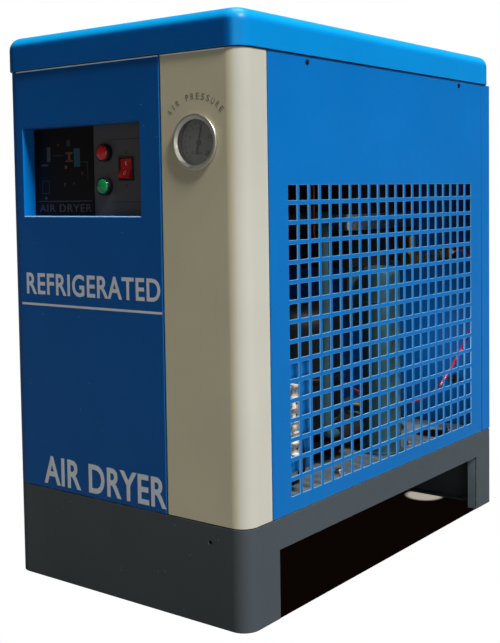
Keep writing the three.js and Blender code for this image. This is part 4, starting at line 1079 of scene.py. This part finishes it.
def fasteners():
    right, left, rear = box_mm("right_side_panel"), box_mm("left_side_panel"), box_mm("rear_panel")
    floor = box_mm("floor_plate")
    bm = new()
    for y in PANEL_SCREW_Y:
        screw(bm, (right.x1, y, PANEL_SCREW_Z), "x", 1, 3.4)
        screw(bm, (left.x0, y, PANEL_SCREW_Z), "x", -1, 3.4)
    for x in (-186, -62, 62, 186):
        for z in (rear.z1 - 8, rear.z0 + 9):
            screw(bm, (x, rear.y1, z), "y", 1, 3.4)
    for z in (rear.z0 + 150, rear.z0 + 300, rear.z0 + 450):
        for x in (-190, 190):
            screw(bm, (x, rear.y1, z), "y", 1, 3.4)
    piece("panel_screws", bm, "blackened_screw", angle=25)
    bm = new()
    for y in (279, 480):
        hex_bolt(bm, (150, y, floor.z1), "z", 1, 11, 8)
    for x in (-150, 150):
        for y in (50, 610):
            hex_bolt(bm, (x, y, floor.z1), "z", 1, 11, 8)
    piece("floor_bolts", bm, "zinc_screw", angle=25)


# ------------------------------------------------------------------ refrigeration circuit
def compressor():
    shell, base = box_mm("compressor_shell"), box_mm("compressor_base")
    cover = box_mm("compressor_terminal_cover")
    seam_radius = (shell.x1 - shell.x0) / 2
    r = seam_radius - 4
    seam = shell.z0 + 94
    bm = new()
    turned(bm, [(0, shell.z0), (50, shell.z0), *arc(r - 26, shell.z0 + 26, 26, 270, 360, 8),
                (r, seam - 4), (seam_radius - 1, seam - 3.4), (seam_radius, seam - 2),
                (seam_radius, seam + 2), (seam_radius - 1, seam + 3.4), (r, seam + 4),
                *arc(r - 36, shell.z1 - 36, 36, 0, 90, 12), (0, shell.z1)],
           "z", (shell.x, shell.y, 0), 96)
    piece("compressor_can", bm, "black_paint", stands_for="compressor_shell")
    dressed("compressor_base", "black_paint", 0.8)
    for i in range(1, 5):
        mount = box_mm(f"compressor_mount_{i}")
        waist = mount.z
        bm = new()
        turned(bm, [(0, mount.z0), (10, mount.z0), (11, mount.z0 + 1), (11, waist - 3.5),
                    *[(8 + 2.6 * abs(math.sin(a)), waist + 3 * math.sin(a)) for a in
                      (math.pi * (k / 8 - 0.5) for k in range(9))],
                    (11, waist + 3.5), (11, mount.z1 - 1), (10, mount.z1), (0, mount.z1)],
               "z", (mount.x, mount.y, 0), 48)
        piece(f"rubber_foot_{i}", bm, "rubber", stands_for=f"compressor_mount_{i}")
    bm = new()
    for i in range(1, 5):
        mount = box_mm(f"compressor_mount_{i}")
        hex_bolt(bm, (mount.x, mount.y, base.z1), "z", 1, 11, 9)
    piece("compressor_nuts", bm, "zinc_screw", angle=25)
    bm = new()
    block(bm, cover.x0, cover.x1, cover.y0, cover.y1, cover.z0, cover.z1)
    piece("terminal_hood", bm, "black_plastic", stands_for="compressor_terminal_cover", bevel=4, segments=4)


def condenser():
    coil = box_mm("condenser_coil")
    x0, x1, y0, y1, z0, z1 = coil.x0 + 2, coil.x1 - 2, coil.y0 + 3, coil.y1 - 3, coil.z0 + 4, coil.z1 - 4
    bm = new()
    count = 130
    for i in range(count):
        y = y0 + 0.6 + (y1 - y0 - 1.2) * i / (count - 1)
        block(bm, x0, x1, y - 0.15, y + 0.15, z0, z1)
    piece("condenser_fins", bm, "aluminium", stands_for="condenser_coil")
    bm = new()
    for start in (coil.y0, y1):
        block(bm, coil.x0, coil.x1, start, start + 3, coil.z0, coil.z1)
    piece("condenser_end_plates", bm, "aluminium", bevel=0.5)
    bm = new()
    rows, pitch = 15, 25.4
    for x in (x0 + 9, x1 - 9):
        for j in range(rows):
            rod(bm, "y", 4.6, y0 - 2, y1 + 2, (x, 0, z0 + 17 + pitch * j), 16)
    piece("condenser_tubes", bm, "copper")


def fan():
    """Five pitched, cambered blades on a hub, and the motor, bracket and shroud round them."""
    dressed("fan_shroud", "black_paint", 0.4)
    dressed("fan_bracket", "steel", 0.4)
    blades, motor = box_mm("fan_blades"), box_mm("fan_motor")
    centre = Vector((-120, motor.y, motor.z))
    count, steps = 5, 9
    bm = new()
    for k in range(count):
        turn = Matrix.Translation(centre) @ Matrix.Rotation(2 * math.pi * k / count, 4, "X")
        rows = []
        for i in range(steps):
            t = i / (steps - 1)
            radius = 29 + 93 * t
            pitch = math.radians(32 - 13 * t)
            chord = 26 + 34 * math.sin(math.pi * (0.12 + 0.62 * t))
            row = []
            for j in range(7):
                u = j / 6 - 0.5
                across = chord * u - 10 * t * t
                camber = 3.2 * (1 - 4 * u * u) * math.sin(math.pi * min(t + 0.2, 1))
                x = across * math.sin(pitch) * 0.5 + camber * math.cos(pitch)
                row.append(bm.verts.new(turn @ Vector((x, -across * math.cos(pitch), radius))))
            rows.append(row)
        for near, far in zip(rows, rows[1:]):
            for a, b, c, d in zip(near, near[1:], far[1:], far):
                bm.faces.new((a, b, c, d))
    piece("fan_vanes", bm, "aluminium", body="fan", stands_for="fan_blades", thickness=1.2, closed=False,
          levels=1)
    bm = new()
    hub = [(0, 12), (26, 12), (30, 10), (32, 6), (32, -12), (28, -12), (26, 6), (7, 6), (7, -11), (0, -11)]
    turned(bm, [(r, -h) for r, h in hub], "x", centre, 64)
    rod(bm, "x", 4, 11, blades.x1 - centre.x, centre, 24, 0.4)
    piece("fan_hub", bm, "aluminium", body="fan")
    r = (motor.z1 - motor.z0) / 2
    bm = new()
    turned(bm, [(0, motor.x0 + 2), (6, motor.x0 + 2), (6, motor.x0), (r - 8, motor.x0),
                *arc(r - 6, motor.x0 + 6, 6, 270, 360, 6), (r, motor.x1 - 8),
                *arc(r - 8, motor.x1 - 8, 8, 0, 90, 6), (0, motor.x1)],
           "x", (0, motor.y, motor.z), 64)
    piece("fan_motor_can", bm, "black_paint", stands_for="fan_motor")


def air_side():
    exchanger, tank = box_mm("heat_exchanger"), box_mm("water_separator")
    bm = new()
    block(bm, exchanger.x0, exchanger.x1, exchanger.y0, exchanger.y1, exchanger.z0, exchanger.z1)
    upright = [e for e in bm.edges if abs(e.verts[0].co.z - e.verts[1].co.z) > 1]
    bmesh.ops.bevel(bm, geom=upright, offset=16, segments=6, affect="EDGES", profile=0.5)
    piece("foam_jacket", bm, "foam", stands_for="heat_exchanger", bevel=3, segments=3)
    bm = new()
    for z in (exchanger.z0 + 70, exchanger.z1 - 70):
        outline = [rounded_rect(exchanger.x0 - i, exchanger.x1 + i, exchanger.y0 - i, exchanger.y1 + i,
                                16 + i, steps=6) for i in (0.25, -0.6)]
        plate_ring(bm, *outline, z - 12, z + 12)
    piece("jacket_tape", bm, "silver_tape", bevel=0.1)

    flange, r = (tank.x1 - tank.x0) / 2, (tank.x1 - tank.x0) / 2 - 4
    bm = new()
    weld = [(r + 0.7 * math.sin(a), tank.z0 + 225 + 2.5 * a / math.pi) for a in
            (math.pi * i / 6 for i in range(7))]
    turned(bm, [(0, tank.z0), (flange - 0.5, tank.z0), (flange, tank.z0 + 0.5), (flange, tank.z0 + 2.6),
                (flange - 0.5, tank.z0 + 3), (r, tank.z0 + 3), *weld,
                *arc(r - 14, tank.z1 - 14, 14, 0, 80, 8), (0, tank.z1)],
           "z", (tank.x, tank.y, 0), 96)
    piece("separator_tank", bm, "tank_paint", stands_for="water_separator")

    bm = new()
    route = [(85, tank.y, exchanger.z0 - TOUCH), (85, tank.y, 320), (tank.x - r - 0.6, tank.y, 320)]
    swept(bm, bent(route, 24, 12), 11, 32)
    piece("cold_air_pipe", bm, "tank_paint", stands_for="separator_pipe", angle=50)

    for name in ("air_inlet_port", "air_outlet_port"):
        port = box_mm(name)
        rear = box_mm("rear_panel").y1
        collar, bore = rear + TOUCH, 17
        crests = []
        for i in range(14):
            y = port.y1 - 3 - i * 2.6
            crests += [(bore, y), (bore + 1.1, y - 1.3)]
        bm = new()
        turned(bm, [(0, port.y0), (22, port.y0), (24, port.y0 + 2), (24, collar), (30.4, collar),
                    (31, collar + 0.6), (31, collar + 4.4), (30.4, collar + 5), (25, collar + 5),
                    (25, port.y1 - 1.2), (24, port.y1), (18.4, port.y1), (bore, port.y1 - 1.6), *crests,
                    (bore, port.y1 - 50), (0, port.y1 - 50)],
               "y", (port.x, 0, port.z), 96)
        piece(name.replace("_port", "_socket"), bm, "steel", stands_for=name, angle=25)


def condensate_drain():
    strainer, valve = box_mm("drain_strainer"), box_mm("drain_valve_body")
    lever, timer, outlet = box_mm("drain_valve_lever"), box_mm("auto_drain"), box_mm("drain_outlet")
    tank = box_mm("water_separator")
    y, z = DRAIN_Y, outlet.z
    bm = new()
    rod(bm, "x", 12, 32, 46, (0, y, z), 6, 0.6)
    rod(bm, "x", 10.4, 46, 58, (0, y, z), 48)
    rod(bm, "x", 12, 58, 72, (0, y, z), 6, 0.6)
    rod(bm, "z", 9, -21, -12, (46, y, z), 6, 0.6)
    rod(bm, "z", 7.6, -12, -2, (46, y, z), 32)
    piece("strainer_body", bm, "brass", stands_for="drain_strainer", angle=25)
    bm = new()
    wall = tank.y + (tank.x1 - tank.x0) / 2 - 4 + 0.6
    swept(bm, bent([(tank.x, wall, z), (tank.x, y, z), (70, y, z)], 20, 10), 6, 24)
    piece("drain_feed", bm, "brass", angle=50)
    dressed("drain_valve_body", "brass", 0.8)

    pivot = Vector((5, y, lever.z0))
    bm = new()
    block(bm, pivot.x, pivot.x + 26, y - 5, y + 5, lever.z0 + 0.4, lever.z0 + 2.6)
    rod(bm, "z", 8, lever.z0, lever.z0 + 3, (pivot.x, y, 0), 40, 0.4)
    piece("lever_blade", bm, "steel", body="drain_lever", bevel=0.4)
    bm = new()
    block(bm, pivot.x + 22, lever.x1, y - 6, y + 6, lever.z0, lever.z0 + 3)
    piece("lever_sleeve", bm, "yellow_plastic", body="drain_lever", stands_for="drain_valve_lever",
          bevel=1.2, segments=4)
    bm = new()
    rod(bm, "z", 4.6, lever.z0 + 3, lever.z1, (pivot.x, y, 0), 6, 0.3)
    piece("lever_nut", bm, "zinc_screw", body="drain_lever", angle=25)

    x = outlet.x
    bm = new()
    block(bm, x - 22, x + 16, y - 18, y + 18, z - 14, z + 15)
    rod(bm, "x", 7, x + 16, valve.x0 - TOUCH, (0, y, z), 6, 0.4)
    piece("timer_valve_body", bm, "brass", stands_for="auto_drain", bevel=1.2, segments=3, angle=25)
    bm = new()
    block(bm, x - 20, x + 14, y - 20, y + 20, z + 15, timer.z1)
    piece("timer_coil", bm, "black_plastic", bevel=3.5, segments=4)
    bm = new()
    rod(bm, "z", 4.2, timer.z1 - 1.8, timer.z1, (x - 8, y, 0), 32, 0.4)
    rod(bm, "z", 4.2, timer.z1 - 1.8, timer.z1, (x + 5, y, 0), 32, 0.4)
    piece("timer_knobs", bm, "marking_white")
    bm = new()
    turned(bm, [(4, outlet.y0), (6, outlet.y0), (6, outlet.y1 - 0.6), (5.4, outlet.y1), (4.4, outlet.y1),
                (4, outlet.y1 - 0.6)], "y", (x, 0, z), 48, loop=True)
    piece("drain_tube", bm, "steel", stands_for="drain_outlet")


def pipework():
    """The refrigerant pipes, on the routes that the CAD gives them."""
    exchanger, drier = box_mm("heat_exchanger"), box_mm("filter_drier")
    gauge, shell = box_mm("gauge_bezel"), box_mm("compressor_shell")
    drier_x, drier_y = drier.x, drier.y
    front = exchanger.y0 - TOUCH
    routes = {
        "suction_pipe": ("suction_line", "tank_paint", 6.5, 20, [
            (60, front, 480), (60, RISER.y, 480), (RISER.x, RISER.y, 480), (RISER.x, RISER.y, RISER.foot),
            (RISER.x, shell.y, RISER.foot), (shell.x + 76.4, shell.y, RISER.foot)]),
        "discharge_pipe": ("discharge_line", "copper", 4.8, 18, [
            (-31.4, 303.2, 300), (-45, 285, 300), (-45, 125, 300), (COIL_X, 125, 300), (COIL_X, 125, 520),
            (COIL_X, 146, 520)]),
        "liquid_pipe": ("liquid_line", "copper", 4, 14, [
            (COIL_X, 146, 180), (COIL_X, 125, 180), (drier_x, 125, 180), (drier_x, drier_y, 180),
            (drier_x, drier_y, drier.z0 - TOUCH)]),
        "gauge_capillary": ("gauge_tube", "copper", 1.8, 20, [
            (gauge.x, 40.3, gauge.z), (gauge.x, 90, gauge.z), (150, 180, 565), (RISER.x, RISER.y - 24, 530),
            (RISER.x, RISER.y - 24, 450), (RISER.x, RISER.y - 6.9, 450)]),
    }
    for name, (node, finish, radius, bend, points) in routes.items():
        bm = new()
        swept(bm, bent(points, bend, 10), radius, 24)
        piece(name, bm, finish, stands_for=node, angle=50)
    bm = new()
    sleeve = [(RISER.x, RISER.y + 26, RISER.foot), (RISER.x, shell.y, RISER.foot),
              (shell.x + 84, shell.y, RISER.foot)]
    swept(bm, bent(sleeve, 20, 10), 12.5, 28)
    piece("suction_insulation", bm, "foam", angle=50)

    bm = new()
    centre = drier_x + 30
    helix = [(centre + 30 * math.cos(a), drier_y + 30 * math.sin(a), 430 + 6 * (a - math.pi) / (2 * math.pi))
             for a in (math.pi + 2 * math.pi * i / 24 for i in range(24 * 3 + 1))]
    lead = flowing([(drier_x, drier_y, drier.z1 + TOUCH), (drier_x, drier_y + 1, 350),
                    (drier_x, drier_y + 3, 416), helix[0]], 6)
    tail = flowing([helix[-1], (drier_x + 4, drier_y - 22, 454), (-40, 110, 462), (0, 125, 466),
                    (10, 200, 460), (10, front, 440)], 6)
    swept(bm, [*lead[:-1], *helix, *tail[1:]], 1.5, 10)
    piece("capillary_winding", bm, "copper", stands_for="capillary_coil", angle=60)

    bm = new()
    turned(bm, [(0, drier.z0), (5, drier.z0), (5.6, drier.z0 + 8), (9, drier.z0 + 14), (16, drier.z0 + 21),
                (16, drier.z1 - 21), (9, drier.z1 - 14), (5.6, drier.z1 - 8), (5, drier.z1), (0, drier.z1)],
           "z", (drier_x, drier_y, 0), 64)
    piece("drier_shell", bm, "copper", stands_for="filter_drier", angle=45)

    bypass = box_mm("bypass_line")
    bm = new()
    rod(bm, "y", 4.5, bypass.y0, bypass.y1, (bypass.x, 0, bypass.z), 32)
    for y in (bypass.y0 + 2, bypass.y1 - 14):
        rod(bm, "y", 7.4, y, y + 12, (bypass.x, 0, bypass.z), 6, 0.6)
    piece("bypass_pipe", bm, "brass", stands_for="bypass_line", angle=25)
    dressed("hot_gas_valve", "brass", 0.6)
    dressed("pressure_switch", "brass", 1.0)
    bm = new()
    button = box_mm("reset_button")
    radius = (button.x1 - button.x0) / 2
    turned(bm, [(0, button.z0), (radius, button.z0), (radius, button.z1 - 1.2),
                *arc(radius - 1.2, button.z1 - 1.2, 1.2, 0, 90, 5), (0, button.z1)],
           "z", (button.x, button.y, 0), 40)
    piece("reset_key_cap", bm, "red_plastic", body="reset_key", stands_for="reset_button")


# ------------------------------------------------------------------ electrical pieces
WIRE_ROUTE = [
    (158.2, 611, 416), (165, 611, 420), (176, 616, 419), (183, 630, 408), (186, 646, 378),
    (186, 650, 340), (184, 640, 304), (182, 606, 268), (180, 566, 236), (172, 528, 206),
    (150, 498, 190), (112, 481, 186), (72, 473, 198), (42.5, 460, 216),
]


def electrics():
    dressed("component_bracket", "blue_paint", 0.4)
    can = box_mm("run_capacitor")
    dressed("terminal_block", "white_plastic", 0.5)
    bm = new()
    for i in range(6):
        screw(bm, (TERMINAL.x, TERMINAL.y, TERMINAL.z + i * TERMINAL.pitch), "x", 1, 3.4)
    piece("terminal_screws", bm, "white_plastic", angle=25)
    bm = new()
    block(bm, TERMINAL.x, TERMINAL.x + 0.4, 111, 114, 262, 270)
    piece("terminal_marks", bm, "marking_red")
    bm = new()
    for i, shift in enumerate((0, 1, 3, 4)):
        z = TERMINAL.z + shift * TERMINAL.pitch
        points = [(183, 129, z), (182, 136, z - 2), (176, 146, z - 12 - 4 * i), (173, 152 + 3 * i, 170),
                  (160, 156 + 4 * i, 140), (130, 170 + 6 * i, 132)]
        swept(bm, flowing(points, 6), 1.3, 10)
    piece("terminal_leads", bm, "black_plastic", angle=60)

    r = (can.x1 - can.x0) / 2
    bm = new()
    turned(bm, [(0, can.z0), (r - 1.5, can.z0), (r - 0.3, can.z0 + 1.5), (r - 0.3, can.z1 - 6),
                (r, can.z1 - 5), (r, can.z1 - 1.5), (r - 1.2, can.z1), (r - 2.4, can.z1 - 1),
                (r - 3, can.z1 - 3), (0, can.z1 - 3)],
           "z", (can.x, can.y, 0), 64)
    piece("capacitor_can", bm, "aluminium", stands_for="run_capacitor", angle=40)

    gland = box_mm("cable_gland")
    collar = box_mm("rear_panel").y1 + TOUCH
    bm = new()
    turned(bm, [(4, gland.y0), (8, gland.y0), (8, collar), (12.4, collar), (13, collar + 0.6),
                (13, collar + 5.4), (12.4, collar + 6), (10.4, collar + 6.6), (9.6, collar + 14),
                (9, collar + 24.7), (7, gland.y1), (4.6, gland.y1), (4, gland.y1 - 0.8)],
           "y", (gland.x, 0, gland.z), 64, loop=True)
    for i in range(18):
        angle = 2 * math.pi * i / 18
        rib = bmesh.ops.create_cube(bm, size=1, matrix=Matrix.Diagonal((1.2, 11, 1.1, 1)))
        turn = (Matrix.Translation((gland.x, collar + 13.2, gland.z)) @ Matrix.Rotation(angle, 4, "Y")
                @ Matrix.Translation((0, 0, 9.9)))
        bmesh.ops.transform(bm, matrix=turn, verts=rib["verts"])
    piece("gland_body", bm, "black_plastic", stands_for="cable_gland", angle=35)

    bm = new()
    route = flowing(WIRE_ROUTE, 8)
    swept(bm, route, 2.1, 16)
    piece("switch_lead", bm, "red_plastic", stands_for="red_wire", angle=60)
    bm = new()
    swept(bm, route[:7], 3.4, 20)
    swept(bm, route[42:49], 2.9, 20)
    piece("lead_sleeves", bm, "marking_white", angle=50)


# ------------------------------------------------------------------ floor and light
def studio():
    """White surroundings. To the camera the floor is white too, with a black painted shadow under the
    machine and a pale painted spot of light in it.
    """
    scene = bpy.context.scene
    scene.view_settings.view_transform = "Standard"
    world = bpy.data.worlds.new("studio")
    scene.world = world
    world.use_nodes = True
    tree = world.node_tree
    tree.nodes.clear()
    seen = tree.nodes.new("ShaderNodeBackground")
    seen.inputs["Color"].default_value = (1, 1, 1, 1)
    seen.inputs["Strength"].default_value = 1.0
    fill = tree.nodes.new("ShaderNodeBackground")
    fill.inputs["Color"].default_value = (0.93, 0.96, 1, 1)
    fill.inputs["Strength"].default_value = 0.05
    path = tree.nodes.new("ShaderNodeLightPath")
    blend = tree.nodes.new("ShaderNodeMixShader")
    output = tree.nodes.new("ShaderNodeOutputWorld")
    tree.links.new(path.outputs["Is Camera Ray"], blend.inputs[0])
    tree.links.new(fill.outputs[0], blend.inputs[1])
    tree.links.new(seen.outputs[0], blend.inputs[2])
    tree.links.new(blend.outputs[0], output.inputs["Surface"])

    for name, towards, energy, softness in (("key", (4, -0.82, 4.75), 4.3, 12),
                                            ("overhead", (-0.05, 0.25, 1), 2.2, 30),
                                            ("frontal", (0.61, -0.79, 0.1), 0.28, 20)):
        data = bpy.data.lights.new(name, "SUN")
        data.energy = energy
        data.angle = math.radians(softness)
        lamp = bpy.data.objects.new(name, data)
        scene.collection.objects.link(lamp)
        lamp.rotation_mode = "QUATERNION"
        lamp.rotation_quaternion = Vector(towards).to_track_quat("Z", "Y")

    inner = bpy.data.lights.new("inner", "AREA")
    inner.energy = 0.16
    inner.size = 0.12
    lamp = bpy.data.objects.new("inner", inner)
    scene.collection.objects.link(lamp)
    lamp.matrix_world = Matrix.Translation(at(120, 540, 250)) @ Matrix.Rotation(math.radians(90), 4, "X")
    lamp.visible_camera = False
    lamp.visible_glossy = False

    floor_recipe = Recipe("studio_floor", Roughness=0.9)
    seen_by_camera = floor_recipe.add("ShaderNodeLightPath").outputs["Is Camera Ray"]
    floor_recipe.surface.inputs["Base Color"].default_value = (0.12, 0.12, 0.12, 1)
    across, along, _ = floor_recipe.add("ShaderNodeSeparateXYZ", {0: floor_recipe.place}).outputs
    middle, half_width, half_depth = FRONT + 0.342, 0.1985, 0.32
    beside = floor_recipe.sum("ABSOLUTE", across, 0.0)
    behind = floor_recipe.sum("ABSOLUTE", floor_recipe.sum("SUBTRACT", along, middle), 0.0)
    # painted shadow: the floor is drawn black where the machine stands
    painted_shadow_mask = floor_recipe.sum("MULTIPLY", floor_recipe.sum("LESS_THAN", beside, half_width),
                             floor_recipe.sum("LESS_THAN", behind, half_depth))
    # painted light: a pale spot in that shadow, near the rear
    light_spot_distance = floor_recipe.add("ShaderNodeVectorMath", {0: floor_recipe.place, 1: at(93, 638, 0)},
                            operation="DISTANCE")
    painted_light_spot = floor_recipe.span(light_spot_distance.outputs["Value"], 0.026, 0.034, 1.0, 0.0)
    shade = floor_recipe.mix(painted_light_spot, (0.0033, 0.0015, 0.0012, 1), (0.42, 0.38, 0.32, 1))
    seen = floor_recipe.mix(painted_shadow_mask, (1, 1, 1, 1), shade)
    flat = floor_recipe.add("ShaderNodeEmission", {"Color": seen, "Strength": 1.0})
    blend_floor = floor_recipe.add(
        "ShaderNodeMixShader", {0: seen_by_camera, 1: floor_recipe.surface.outputs[0], 2: flat.outputs[0]})
    tree = floor_recipe.tree
    tree.links.new(blend_floor.outputs[0], floor_recipe.output.inputs["Surface"])
    bm = new()
    block(bm, -20000, 20000, -20000, 20000, -20, -0.2)
    floor = mesh_object("studio_floor", bm)
    floor.data.materials.append(floor_recipe.material)


base_frame()
panel_seal()
front_panels()
side_panels()
rear_panel()
lid()
floor_sheet()
control_panel()
front_lettering()
gauge_lettering()
pressure_gauge()
fasteners()
compressor()
condenser()
fan()
air_side()
condensate_drain()
pipework()
electrics()
studio()
